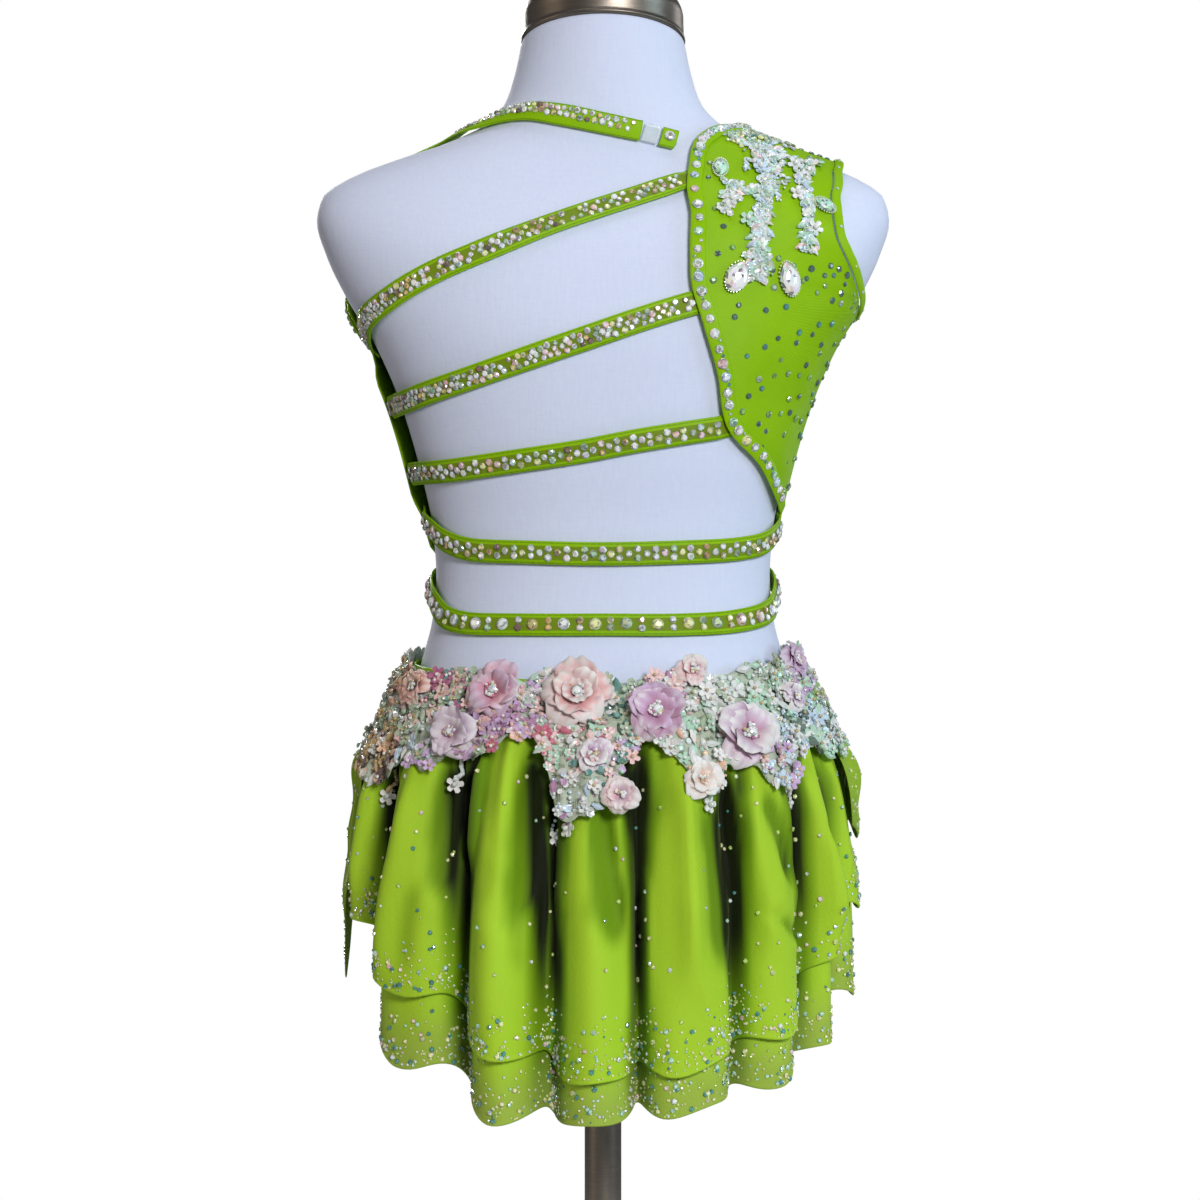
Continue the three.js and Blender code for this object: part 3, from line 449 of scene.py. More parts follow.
    def crinkle(self, turn: Array, z: Array) -> Array:
        """The creases, the small gathers under the yoke and the slow unevenness of hung cloth, together.

        Args:
            turn: Turns.
            z: Heights.

        Returns:
            How far they stand out.
        """
        start = self.folds[0][0]
        turn = np.mod(turn - start, 360) + start
        total = 1.6 * sum(crease.height(turn, z) for crease in self.creases)
        total = (total + sum(crease.height(turn, z) for crease in self.fine)) * smooth((374 - z) / 30)
        _, part, _ = self.fold_at(turn)
        total = total - 3.6 * np.abs(np.cos(np.pi * part)) ** 7 * smooth((357 - z) / 16)
        angle = np.radians(turn)
        gather = np.sin(61 * angle + 1.7 * np.sin(9 * angle))
        gather = gather + 0.7 * np.sin(97 * angle + 2.1 * np.sin(13 * angle + 1))
        total = total + 1.1 * gather * smooth((384 - z) / 14) * smooth((z - 296) / 60)
        slow = np.sin(23 * angle + 0.017 * z) * np.sin(0.031 * z + 5 * angle) + 0.6 * np.sin(37 * angle - 0.012 * z)
        return total + 0.8 * slow * smooth((330 - z) / 90)

    def light(self, turn: Array, z: Array, tier: Tier) -> Array:
        """The tint of a tier, with painted light and shade: a painted highlight on its ridges and raised creases,
        painted shade deep in its folds and sunk creases, and greyer where the hem is sheer.

        Args:
            turn: Turns of the cloth.
            z: Heights of the cloth.
            tier: Which layer it is.

        Returns:
            Linear colours.
        """
        above = z - self.hem(turn, tier)
        i, share, _ = self.fold_at(turn)
        deep = np.array([row[1] for row in self.folds])
        room = self.opened(z) * lerp(deep[i], deep[i + 1], share)
        # painted shade: how darkly each place is painted, from how deep it lies in a valley and in a sunk crease;
        # raised creases are painted lighter, and the shade thins towards the hem
        fold_shade = smooth((self.valley(turn, z) - 0.28) / 0.6) * smooth(room / 15)
        fold_shade = np.clip(fold_shade - np.clip(self.crinkle(turn, z) / 9.5, -0.5, 0.2), 0, 1)
        fold_shade = fold_shade * (0.5 + 0.5 * smooth((above - 4) / 70))
        # painted light and shade: bright is a painted highlight on the ridges, mid the cloth between them and dark a
        # painted shade deep in the folds
        bright, mid, dark = (np.array(c) for c in (paint(184, 226, 52), paint(126, 168, 14), paint(18, 25, 2)))
        tint = lerp(lerp(bright, mid, smooth(fold_shade / 0.5)[..., None]), dark, smooth((fold_shade - 0.4) / 0.6)[..., None])
        if tier is Tier.LOWER:
            tint = lerp(tint, np.array(paint(158, 170, 92)), 0.55 * (1 - smooth((above - 6) / 34))[..., None])
        return tint

    def hanging(self, top: Height, out: float = 0.0, share: float = 1.0, follow: float = 1.0) -> Surface:
        """The outer face of cloth that is sewn to the yoke at its top and falls in folds below it.

        Args:
            top: The height at which it is sewn, for a turn.
            out: How far it hangs outside the ring.
            share: The part of the folds' height that it has.
            follow: How far it goes down into the valleys.

        Returns:
            A surface by turn and height.
        """

        def surface(turn: Array, z: Array) -> Array:
            """Points of the hanging cloth.

            Args:
                turn: Turns.
                z: Heights.

            Returns:
                The points.
            """
            turn, z = spread(turn, z)
            _, part, width = self.fold_at(turn)
            rolls = turn - 0.1 * width * follow * np.minimum(self.opened(z), 1) * np.sin(2 * np.pi * part)
            wave = self.crinkle(turn, z)
            high = share * self.fold_height(turn, z, follow) + np.where(wave > 0, wave, follow * wave) + out
            free = self.ring(rolls, z) + normal_of(self.ring, rolls, z, 1.0) * high[..., None]
            sewn = lifted(FORM, turn, z, ON_CLOTH + CHIFFON + max(0.0, out))
            return lerp(sewn, free, smooth((top(turn) - z) / 11)[..., None])

        return surface


SKIRT = SkirtShape()
ON_SKIRT = SKIRT.hanging(upper_top)
ON_LOWER = SKIRT.hanging(lower_top, out=-TIER_INSET, share=0.9)
ON_LACE = SKIRT.hanging(upper_top, out=1.4, follow=0.4)


# ---------------------------------------------------------------- meshes
@dataclass
class Batch:
    """Points and faces gathered for one mesh, with a cut place and a tint for each point or a tint for each face."""

    points: list[Array] = field(default_factory=list)
    faces: list[Array] = field(default_factory=list)
    cuts: list[Array] = field(default_factory=list)
    tints: list[Array] = field(default_factory=list)
    count: int = 0
    wrap: float = 0.0  # where a cloth goes right round, the length at which its cut starts again

    def add(
        self,
        points: Array,
        faces: Sequence[Array],
        cut: Array | None = None,
        tint: Array | None = None,
        outward: bool = False,
    ) -> None:
        """Adds a part.

        Args:
            points: Its points in millimetres, (N, 3).
            faces: Arrays of faces, each with its own number of corners.
            cut: Place on the cut cloth of each point, in centimetres, (N, 2).
            tint: A colour of each point or of each face in turn.
            outward: Whether to turn a closed part's faces so that they face out.
        """
        points = points.reshape(-1, 3)
        if outward:
            volume = 0.0
            for group in faces:
                a, b, c = (points[group[:, k]] for k in (0, 1, 2))
                volume += np.einsum("ij,ij->i", a, np.cross(b, c)).sum()
                if group.shape[1] == 4:
                    volume += np.einsum("ij,ij->i", a, np.cross(c, points[group[:, 3]])).sum()
            if volume < 0:
                faces = [group[:, ::-1] for group in faces]
        self.points.append(points)
        self.faces += [group + self.count for group in faces]
        self.cuts.append(np.zeros((len(points), 2)) if cut is None else cut.reshape(-1, 2))
        if tint is not None:
            self.tints.append(np.asarray(tint, float).reshape(-1, 3))
        self.count += len(points)

    def build(self, name: str, flat: bool = False) -> Piece:
        """Makes the mesh.

        Args:
            name: The object's name.
            flat: Whether its faces are shaded flat.

        Returns:
            The new object, in metres.
        """
        mesh = bpy.data.meshes.new(name)
        points = np.concatenate(self.points) * MM
        loops = np.concatenate([group.ravel() for group in self.faces]).astype(np.int32)
        totals = np.concatenate([np.full(len(group), group.shape[1]) for group in self.faces])
        starts = np.concatenate([[0], np.cumsum(totals)[:-1]]).astype(np.int32)
        mesh.vertices.add(len(points))
        mesh.vertices.foreach_set("co", points.astype(np.float32).ravel())
        mesh.loops.add(len(loops))
        mesh.loops.foreach_set("vertex_index", loops)
        mesh.polygons.add(len(totals))
        mesh.polygons.foreach_set("loop_start", starts)
        mesh.update(calc_edges=True)
        mesh.polygons.foreach_set("use_smooth", np.full(len(totals), not flat))
        layer = mesh.uv_layers.new(name="cut")
        cut = np.concatenate(self.cuts)[loops]
        if self.wrap:
            first = np.repeat(cut[starts, 0], totals)
            cut[:, 0] += self.wrap * np.round((first - cut[:, 0]) / self.wrap)
        layer.data.foreach_set("uv", cut.astype(np.float32).ravel())
        if self.tints:
            tint = np.concatenate(self.tints)
            domain = "POINT" if len(tint) == len(points) else "FACE"
            rgba = np.concatenate([tint, np.ones((len(tint), 1))], 1).astype(np.float32)
            mesh.attributes.new("tint", "FLOAT_COLOR", domain).data.foreach_set("color", rgba.ravel())
        mesh.update()
        piece = bpy.data.objects.new(name, mesh)
        bpy.context.scene.collection.objects.link(piece)
        return piece


def grid_faces(rows: int, cols: int, first: int = 0, ringed: bool = False) -> Array:
    """The quads of a grid of points, facing the way that columns turn into rows.

    Args:
        rows: Rows of points.
        cols: Columns of points.
        first: The number of the grid's first point.
        ringed: Whether the last column joins the first.

    Returns:
        Corner numbers, (N, 4).
    """
    i, j = np.meshgrid(np.arange(rows - 1), np.arange(cols if ringed else cols - 1), indexing="ij")
    k = (j + 1) % cols
    quads = np.stack([i * cols + j, i * cols + k, (i + 1) * cols + k, (i + 1) * cols + j], -1)
    return first + quads.reshape(-1, 4)


def wall(batch: Batch, outer: Array, inner: Array, cut: Array | None = None, ringed: bool = False) -> None:
    """Adds a closed wall between two grids of points.

    Args:
        batch: The mesh it goes into.
        outer: Points of the outer face, (rows, columns, 3).
        inner: Points of the inner face.
        cut: Places on the cut cloth, (rows, columns, 2).
        ringed: Whether the last column joins the first.
    """
    rows, cols = outer.shape[:2]
    size = rows * cols
    out = grid_faces(rows, cols, 0, ringed)
    into = grid_faces(rows, cols, size, ringed)[:, ::-1]
    number = np.arange(size).reshape(rows, cols)
    low, high = number[0], number[-1]
    if ringed:
        low, high = np.append(low, low[0]), np.append(high, high[0])
    rims = [(low[1:], low[:-1]), (high[:-1], high[1:])]
    if not ringed:
        rims += [(number[:-1, 0], number[1:, 0]), (number[1:, -1], number[:-1, -1])]
    edge = np.concatenate([np.stack([a, b, b + size, a + size], 1) for a, b in rims])
    both = None if cut is None else np.concatenate([cut.reshape(-1, 2)] * 2)
    batch.add(np.concatenate([outer.reshape(-1, 3), inner.reshape(-1, 3)]), [out, into, edge], both)


def thin_cloth(
    name: str,
    surface: Surface,
    places: tuple[Array, Array],
    lift: Array | float,
    half: Array,
    cut: Array,
    tint: Array | None = None,
    ringed: bool = False,
) -> Piece:
    """A closed thin wall of cloth on a surface.

    Args:
        name: The object's name.
        surface: What it lies on.
        places: The turns and heights of its grid.
        lift: How far the middle of its thickness is from the surface.
        half: Half its thickness.
        cut: Places on the cut cloth, in centimetres.
        tint: A colour for each point of its outer face; the inner one is a darker copy, as painted shade.
        ringed: Whether it goes right round.

    Returns:
        The object.
    """
    batch = Batch(wrap=FORM_ROUND if ringed else 0.0)
    outer, inner = (lifted(surface, *places, lift + side * half) for side in (1, -1))
    wall(batch, outer, inner, cut, ringed)
    if tint is not None:
        tint = tint.reshape(-1, 3)
        # the inner face is painted in shade, at 0.6 of the outer tint
        batch.tints.append(np.concatenate([tint, tint * 0.6]))
    return batch.build(name)


def sweep(batch: Batch, sections: Array, cut: Array | None = None, closed: bool = False) -> None:
    """Adds a closed tube through sections.

    Args:
        batch: The mesh it goes into.
        sections: Points, (steps, points of a section, 3).
        cut: Places on the cut cloth, (steps, points of a section, 2).
        closed: Whether the last section joins the first.
    """
    steps, around = sections.shape[:2]
    faces = grid_faces(steps, around, 0, True)
    groups = [faces]
    if closed:
        last = np.arange(around) + (steps - 1) * around
        first = np.arange(around)
        groups.append(np.stack([last, np.roll(last, -1), np.roll(first, -1), first], 1))
    else:
        groups.append(np.arange(around)[None, ::-1])
        groups.append(np.arange(around)[None] + (steps - 1) * around)
    batch.add(sections, groups, cut, outward=True)


# ---------------------------------------------------------------- shader helpers
class Wire:
    """A node's output, used in ordinary expressions on values."""

    def __init__(self, tree: bpy.types.NodeTree, socket: bpy.types.NodeSocket) -> None:
        """Wraps a socket of a tree."""
        self.tree, self.socket = tree, socket

    def math(self, operation: str, other: "Wire | float | None" = None, swapped: bool = False) -> "Wire":
        """Adds a Math node.

        Args:
            operation: The node's operation.
            other: The second value, if it takes one.
            swapped: Whether the other value comes first.

        Returns:
            The result.
        """
        node = self.tree.nodes.new("ShaderNodeMath")
        node.operation = operation
        ends = (other, self) if swapped else (self, other)
        for socket, end in zip(node.inputs, ends):
            if isinstance(end, Wire):
                self.tree.links.new(end.socket, socket)
            elif end is not None:
                socket.default_value = end
        return Wire(self.tree, node.outputs[0])

    def __add__(self, other: "Wire | float") -> "Wire":
        """The sum."""
        return self.math("ADD", other)

    __radd__ = __add__

    def __sub__(self, other: "Wire | float") -> "Wire":
        """The difference."""
        return self.math("SUBTRACT", other)

    def __rsub__(self, other: float) -> "Wire":
        """The difference, the other way round."""
        return self.math("SUBTRACT", other, swapped=True)

    def __mul__(self, other: "Wire | float") -> "Wire":
        """The product."""
        return self.math("MULTIPLY", other)

    __rmul__ = __mul__

    def __gt__(self, other: "Wire | float") -> "Wire":
        """1 where this is the greater."""
        return self.math("GREATER_THAN", other)

    def __lt__(self, other: "Wire | float") -> "Wire":
        """1 where this is the less."""
        return self.math("LESS_THAN", other)

    def __abs__(self) -> "Wire":
        """The absolute value."""
        return self.math("ABSOLUTE")

    def wave(self, period: float) -> "Wire":
        """A sine of this value, -1 to 1, with a period."""
        return (self * (2 * math.pi / period)).math("SINE")


Value = Wire | float | int | tuple | bpy.types.NodeSocket


class Recipe:
    """A finish being mixed: its material, node tree and Principled shader."""

    def __init__(self, name: str, **constants: float | Colour) -> None:
        """Starts a material.

        Args:
            name: The material's name.
            constants: Shader sockets that are the same all over, their spaces written as underscores.
        """
        self.material = bpy.data.materials.new(name)
        self.material.use_nodes = True
        self.tree = self.material.node_tree
        self.tree.nodes.clear()
        self.shader = self.node("ShaderNodeBsdfPrincipled")
        self.surface = self.node("ShaderNodeOutputMaterial", inputs={"Surface": self.shader.outputs[0]})
        for key, value in constants.items():
            self.put(key.replace("_", " "), value)

    def _feed(self, socket: bpy.types.NodeSocket, value: Value) -> None:
        """Links or sets a socket.

        Args:
            socket: The socket.
            value: An output to link, or a number, name or colour.
        """
        if isinstance(value, Wire):
            value = value.socket
        if isinstance(value, bpy.types.NodeSocket):
            self.tree.links.new(value, socket)
        elif isinstance(value, tuple) and socket.type == "RGBA":
            socket.default_value = (*value, 1.0)
        else:
            socket.default_value = value

    def node(self, kind: str, settings: dict | None = None, inputs: dict | None = None) -> bpy.types.Node:
        """Adds any node.

        Args:
            kind: The node's type.
            settings: Its own settings, which are set first; `stops` are a ramp's places and colours.
            inputs: Values or links of its sockets, by name or number.

        Returns:
            The node.
        """
        node = self.tree.nodes.new(kind)
        for key, value in (settings or {}).items():
            if key == "stops":
                ramp = node.color_ramp.elements
                while len(ramp) < len(value):
                    ramp.new(0.5)
                for stop, (place, colour) in zip(ramp, value):
                    stop.position, stop.color = place, (*colour, 1.0)
            else:
                setattr(node, key, value)
        for key, value in (inputs or {}).items():
            self._feed(node.inputs[key], value)
        return node

    def wire(self, node: bpy.types.Node, output: str | int = 0) -> Wire:
        """One output of a node, for expressions."""
        return Wire(self.tree, node.outputs[output])

    def put(self, socket: str, value: Value) -> None:
        """Sets or links one socket of the Principled shader."""
        self._feed(self.shader.inputs[socket], value)

    def cut(self) -> tuple[Wire, Wire]:
        """Place on the cut cloth, along and across, in millimetres."""
        place = self.node("ShaderNodeUVMap", {"uv_map": "cut"})
        parts = self.node("ShaderNodeSeparateXYZ", inputs={0: place.outputs[0]})
        return self.wire(parts, 0) * 10.0, self.wire(parts, 1) * 10.0

    def noise(self, size: float, detail: float = 3.0, stretch: Colour = (1.0, 1.0, 1.0)) -> Wire:
        """Noise from 0 to 1 fixed to the piece.

        Args:
            size: Rough size of its blots in millimetres.
            detail: How many finer layers it has.
            stretch: Scale along each axis.

        Returns:
            The noise.
        """
        place = self.node("ShaderNodeTexCoord")
        scaled = self.node("ShaderNodeMapping", inputs={0: place.outputs["Object"], "Scale": stretch})
        noise = self.node(
            "ShaderNodeTexNoise", inputs={"Vector": scaled.outputs[0], "Scale": 1 / (size * MM), "Detail": detail}
        )
        return self.wire(noise, 0)

    def mix(self, share: Value, first: Value, second: Value, blend: str = "MIX") -> bpy.types.NodeSocket:
        """A first colour with a share of a second one mixed in, by a blend type of the Mix node."""
        node = self.node("ShaderNodeMix", {"data_type": "RGBA", "blend_type": blend}, {0: share, 6: first, 7: second})
        return node.outputs[2]

    def tint(self) -> bpy.types.NodeSocket:
        """The colour kept with the mesh, which on the skirt, drapes and small set parts also holds painted light and
        shade.
        """
        return self.node("ShaderNodeAttribute", {"attribute_name": "tint"}).outputs["Color"]

    def bump(self, height: Wire, depth: float) -> None:
        """Raises the surface by a height from 0 to 1, where 1 is a depth in millimetres."""
        node = self.node("ShaderNodeBump", inputs={"Height": height, "Distance": depth * MM, "Strength": 1.0})
        self.put("Normal", node.outputs[0])

    def show(self, node: bpy.types.Node) -> None:
        """Makes a node's first output the material's surface."""
        self._feed(self.surface.inputs["Surface"], node.outputs[0])


# ---------------------------------------------------------------- finishes
LIME, LIME_DEEP = paint(158, 208, 0), paint(130, 182, 0)


@dataclass(frozen=True)
class Jersey:
    """Shiny two-way stretch jersey, with a fine rib and, on bands, a row of stitches along each edge; on straps, a
    painted shadow under the stones.
    """

    name: str = "stretch_jersey"
    bright: Colour = LIME
    deep: Colour = LIME_DEEP
    rib: float = 0.9
    stitches_at: float = 0.0
    beaded: float = 0.0

    def make(self) -> Material:
        """Mixes the finish.

        Returns:
            The material.
        """
        bloom = paint(190, 255, 60)
        mix = Recipe(self.name, Specular_IOR_Level=0.18, Sheen_Weight=0.15, Sheen_Roughness=0.4, Sheen_Tint=bloom)
        along, across = mix.cut()
        blots, grain = mix.noise(26.0, 2.0), mix.noise(1.1, 2.0)
        rib = across.wave(self.rib) * 0.5 + 0.5
        colour = mix.mix(blots * 0.6 + rib * 0.25 + grain * 0.15, self.deep, self.bright)
        height = rib * 0.6 + grain * 0.4
        if self.stitches_at:
            row = abs(abs(across) - self.stitches_at) < 0.3
            stitch = row * (along.wave(3.0) > -0.35)
            colour = mix.mix(row * 0.3 + stitch * 0.25, colour, paint(66, 108, 4))
            height = height + stitch * 0.8 - row * 0.9
        if self.beaded:
            # painted shadow of the stones: a darker olive band down the middle of a strap
            under = abs(across) < self.beaded
            colour = mix.mix(under * 0.62, colour, paint(104, 104, 34))
        mix.put("Base Color", colour)
        mix.put("Roughness", grain * 0.15 + 0.38)
        mix.bump(height, 0.16)
        return mix.material


@dataclass(frozen=True)
class Chiffon:
    """Soft crepe chiffon in the tint kept with the mesh, which holds painted shade and highlights on its folds and
    puffs; matt with a bloom on its folds and a fine crossed weave.
    """

    name: str = "chiffon"
    weave: float = 0.8

    def make(self) -> Material:
        """Mixes the finish.

        Returns:
            The material.
        """
        bloom = paint(220, 255, 150)
        mix = Recipe(self.name, Specular_IOR_Level=0.2, Sheen_Weight=0.18, Sheen_Roughness=0.45, Sheen_Tint=bloom)
        along, across = mix.cut()
        blots, crepe = mix.noise(34.0, 2.0, (1.0, 1.0, 0.4)), mix.noise(1.3, 3.0)
        threads = along.wave(self.weave) * across.wave(self.weave) * 0.5 + 0.5
        shade = mix.mix(blots * 0.6 + crepe * 0.25 + threads * 0.15, (0.76, 0.78, 0.6), (1.0, 1.0, 1.0))
        mix.put("Base Color", mix.mix(1.0, mix.tint(), shade, "MULTIPLY"))
        mix.put("Roughness", crepe * 0.15 + 0.58)
        mix.bump(threads * 0.35 + crepe * 0.65, 0.22)
        return mix.material


@dataclass(frozen=True)
class FormCover:
    """The close-woven white cover of the form, with slubs in its thread."""

    name: str = "form_cover"
    pale: Colour = paint(229, 237, 255)
    shade: Colour = paint(213, 221, 252)

    def make(self) -> Material:
        """Mixes the finish.

        Returns:
            The material.
        """
        mix = Recipe(self.name, Specular_IOR_Level=0.2, Sheen_Weight=0.15, Sheen_Roughness=0.5)
        along, across = mix.cut()
        slub = mix.noise(2.2, 3.0, (1.0, 1.0, 0.18))
        cross = mix.noise(2.4, 2.0, (0.3, 0.3, 1.6))
        threads = along.wave(0.9) * across.wave(0.9) * 0.5 + 0.5
        grain = slub * 0.5 + cross * 0.3 + threads * 0.2
        mix.put("Base Color", mix.mix(grain, self.shade, self.pale))
        mix.put("Roughness", slub * 0.2 + 0.68)
        mix.bump(grain, 0.3)
        return mix.material


@dataclass(frozen=True)
class Steel:
    """Brushed metal with a worn, darker bloom."""

    name: str = "metal"
    light: Colour = paint(150, 142, 132)
    dark: Colour = paint(98, 88, 78)

    def make(self) -> Material:
        """Mixes the finish.

        Returns:
            The material.
        """
        mix = Recipe(self.name, Specular_IOR_Level=0.5)
        brushed = mix.noise(1.2, 3.0, (0.1, 0.1, 2.4))
        worn = mix.noise(38.0, 4.0)
        mix.put("Base Color", mix.mix(brushed * 0.5 + worn * 0.5, self.dark, self.light))
        mix.put("Metallic", 1.0 - worn * 0.15)
        mix.put("Roughness", brushed * 0.18 + worn * 0.15 + 0.2)
        mix.bump(brushed, 0.05)
        return mix.material


@dataclass(frozen=True)
class ClearPlastic:
    """Clear moulded plastic with a little haze."""

    name: str = "clear_plastic"

    def make(self) -> Material:
        """Mixes the finish.

        Returns:
            The material.
        """
        mix = Recipe(self.name, Specular_IOR_Level=0.6, IOR=1.45, Coat_Weight=0.6, Coat_Roughness=0.05)
        haze = mix.noise(4.0, 2.0)
        mix.put("Base Color", mix.mix(haze, paint(226, 238, 246), paint(244, 250, 252)))
        mix.put("Roughness", haze * 0.1 + 0.08)
        mix.put("Alpha", haze * 0.15 + 0.42)
        return mix.material


@dataclass(frozen=True)
class LaceNet:
    """Embroidered net: opaque where it is worked, with small holes between."""

    name: str = "beaded_lace"
    pale: Colour = paint(222, 228, 214)
    shade: Colour = paint(140, 160, 122)
    hole: float = 2.1

    def make(self) -> Material:
        """Mixes the finish.

        Returns:
            The material.
        """
        mix = Recipe(self.name, Specular_IOR_Level=0.4, Sheen_Weight=0.3, Sheen_Roughness=0.4)
        along, across = mix.cut()
        worked, thread = mix.noise(6.0, 3.0), mix.noise(0.9, 2.0)
        net = (abs(along.wave(self.hole)) < 0.5) + (abs(across.wave(self.hole)) < 0.5)
        mix.put("Base Color", mix.mix(thread * 0.6 + worked * 0.4, self.shade, self.pale))
        mix.put("Alpha", (net + (worked > 0.44)) > 0.5)
        mix.put("Roughness", thread * 0.3 + 0.35)
        mix.bump(thread * 0.6 + worked * 0.4, 0.5)
        return mix.material


@dataclass(frozen=True)
class Petal:
    """Crisp organza in the tint kept with the mesh, with fine veins and a sheen."""

    name: str = "petal_cloth"

    def make(self) -> Material:
        """Mixes the finish.

        Returns:
            The material.
        """
        mix = Recipe(self.name, Specular_IOR_Level=0.45, Sheen_Weight=0.4, Sheen_Roughness=0.3)
        along, _ = mix.cut()
        thread, blots = mix.noise(0.8, 2.0), mix.noise(5.0, 2.0)
        veins = abs(along.wave(1.6)) * 0.5 + thread * 0.5
        mix.put("Base Color", mix.mix(veins * 0.22 + blots * 0.2, mix.tint(), paint(255, 250, 250)))
        mix.put("Roughness", thread * 0.2 + 0.36)
        mix.put("Alpha", blots * 0.2 + 0.8)
        mix.bump(veins, 0.14)
        return mix.material


@dataclass(frozen=True)
class Crystal:
    """Cut glass with a mirror back, each facet in its own tint, which holds painted glints and shade."""

    name: str = "crystal"

    def make(self) -> Material:
        """Mixes the finish.

        Returns:
            The material.
        """
        mix = Recipe(self.name, Specular_IOR_Level=0.9, Coat_Weight=1.0, Coat_Roughness=0.03)
        film = mix.noise(1.4, 1.0)
        mix.put("Base Color", mix.mix(film * 0.2, mix.tint(), paint(225, 240, 250)))
        mix.put("Roughness", film * 0.14 + 0.06)
        return mix.material


@dataclass(frozen=True)
class Sequin:
    """Pearly plastic film of sequins, beads and pearls, in the tint kept with the mesh, which holds painted shade and
    glints.
    """

    name: str = "sequin"

    def make(self) -> Material:
        """Mixes the finish.

        Returns:
            The material.
        """
        mix = Recipe(self.name, Specular_IOR_Level=0.7, Coat_Weight=0.7, Coat_Roughness=0.08)
        film = mix.noise(1.8, 1.0)
        mix.put("Base Color", mix.mix(film * 0.3, mix.tint(), paint(235, 240, 250)))
        mix.put("Roughness", film * 0.2 + 0.16)
        return mix.material


# ---------------------------------------------------------------- dressing
def dress(
    piece: Piece, material: Material, replaces: Sequence[str] = ()
) -> Piece:
    """Gives a piece its finish and its place in the model.

    Args:
        piece: The new object.
        material: Its material.
        replaces: The solids that it stands for.

    Returns:
        The piece.
    """
    piece.data.materials.append(material)
    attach(piece, BODY)
    if replaces:
        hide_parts(*replaces)
    LOG.info("%s: %d faces", piece.name, len(piece.data.polygons))
    return piece


def area_of(piece: Piece) -> float:
    """Half the area of a closed thin piece, in square metres."""
    return sum(face.area for face in piece.data.polygons) / 2


def section(width: float, thick: float, crown: float, count: int = 14) -> tuple[Array, Array]:
    """The outline of a turned band: rounded edges, a little higher along its middle.

    Args:
        width: The band's width.
        thick: Its thickness.
        crown: How much higher its middle is.
        count: Points round it.

    Returns:
        Places across, and heights over its underside.
    """
    angle = np.linspace(0, 2 * np.pi, count, endpoint=False)
    c, s = np.cos(angle), np.sin(angle)
    across = width / 2 * np.sign(c) * np.abs(c) ** 0.5
    up = thick / 2 * (1 + np.sign(s) * np.abs(s) ** 0.7)
    return across, up - crown * (2 * across / width) ** 2


@dataclass
class Ribbon:
    """A band that follows a line on the form."""

    table: tuple[Place, ...]
    width: float
    lift: float
    thick: float
    steps: int = 150
    shift: float = 0.0
    crown: float = 0.7
    closed: bool = False
    rises: float = 0.0
    tucks: float = 0.0  # how much of each end goes in under another cloth
    line: Line = field(init=False)

    def __post_init__(self) -> None:
        """Runs the line through its table."""
        self.line = Line(self.table, self.closed)

    def length(self) -> float:
        """The band's length on the form."""
        points = FORM(*self.line.by_length(np.linspace(0, 1, 400)))
        return float(np.linalg.norm(np.diff(points, axis=0), axis=1).sum())

    def beside(self, t: Array, across: Array) -> tuple[Array, Array]:
        """Places at a share of the line's length and a distance to its left.

        Args:
            t: Shares of the length.
            across: Distances, measured on the form.

        Returns:
            Turns and heights.
        """
        t, across = spread(t, across)
        ends = [np.mod(t + n, 1) if self.closed else np.clip(t + n, 0, 1) for n in (-0.004, 0.004)]
        (turn0, z0), (turn1, z1) = (self.line.by_length(end) for end in ends)
        turn, z = self.line.by_length(t)
        step = 0.5
        per_turn = (FORM(turn + step, z) - FORM(turn - step, z)) / (2 * step)
        per_z = (FORM(turn, z + step) - FORM(turn, z - step)) / (2 * step)
        heading = per_turn * (turn1 - turn0)[..., None] + per_z * (z1 - z0)[..., None]
        heading /= np.linalg.norm(heading, axis=-1, keepdims=True)
        sideways = np.cross(normal_of(FORM, turn, z), heading)
        (uu, uv, su), (_, vv, sv) = (
            [(a * b).sum(-1) for b in (per_turn, per_z, sideways)] for a in (per_turn, per_z)
        )
        det = uu * vv - uv * uv
        return turn + across * (vv * su - uv * sv) / det, z + across * (uu * sv - uv * su) / det

    def lift_at(self, t: Array) -> Array:
        """The underside's lift, which may rise at the line's start and sinks where an end is tucked in."""
        to_end = np.minimum(t, 1 - t) * self.length()
        sinks = (self.thick + 0.1) * smooth((self.tucks + 6 - to_end) / 5) if self.tucks else 0.0
        return self.lift + self.rises * smooth((0.12 - t) / 0.12) - sinks

    def top(self, t: Array, across: Array) -> tuple[Array, Array, Array]:
        """Where trims sit, a little sunk into the band: turns, heights and lifts."""
        turn, z = self.beside(t, self.shift + across)
        crown = self.crown * (2 * across / self.width) ** 2
        return turn, z, self.lift_at(t) + self.thick - crown - SUNK

    def make(self, name: str) -> Piece:
        """Builds the band.

        Args:
            name: The object's name.

        Returns:
            The object.
        """
        t = np.linspace(0, 1, self.steps + 1)
        if self.closed:
            t = t[:-1]
        across, up = section(self.width, self.thick, self.crown)
        turn, z = self.beside(t[:, None], self.shift + across[None, :])
        points = lifted(FORM, turn, z, self.lift_at(t)[:, None] + up[None, :])
        run = self.length() * t / 10
        cut = paired(run[:, None], across[None, :] / 10)
        batch = Batch()
        sweep(batch, points, cut, self.closed)
        return batch.build(name)


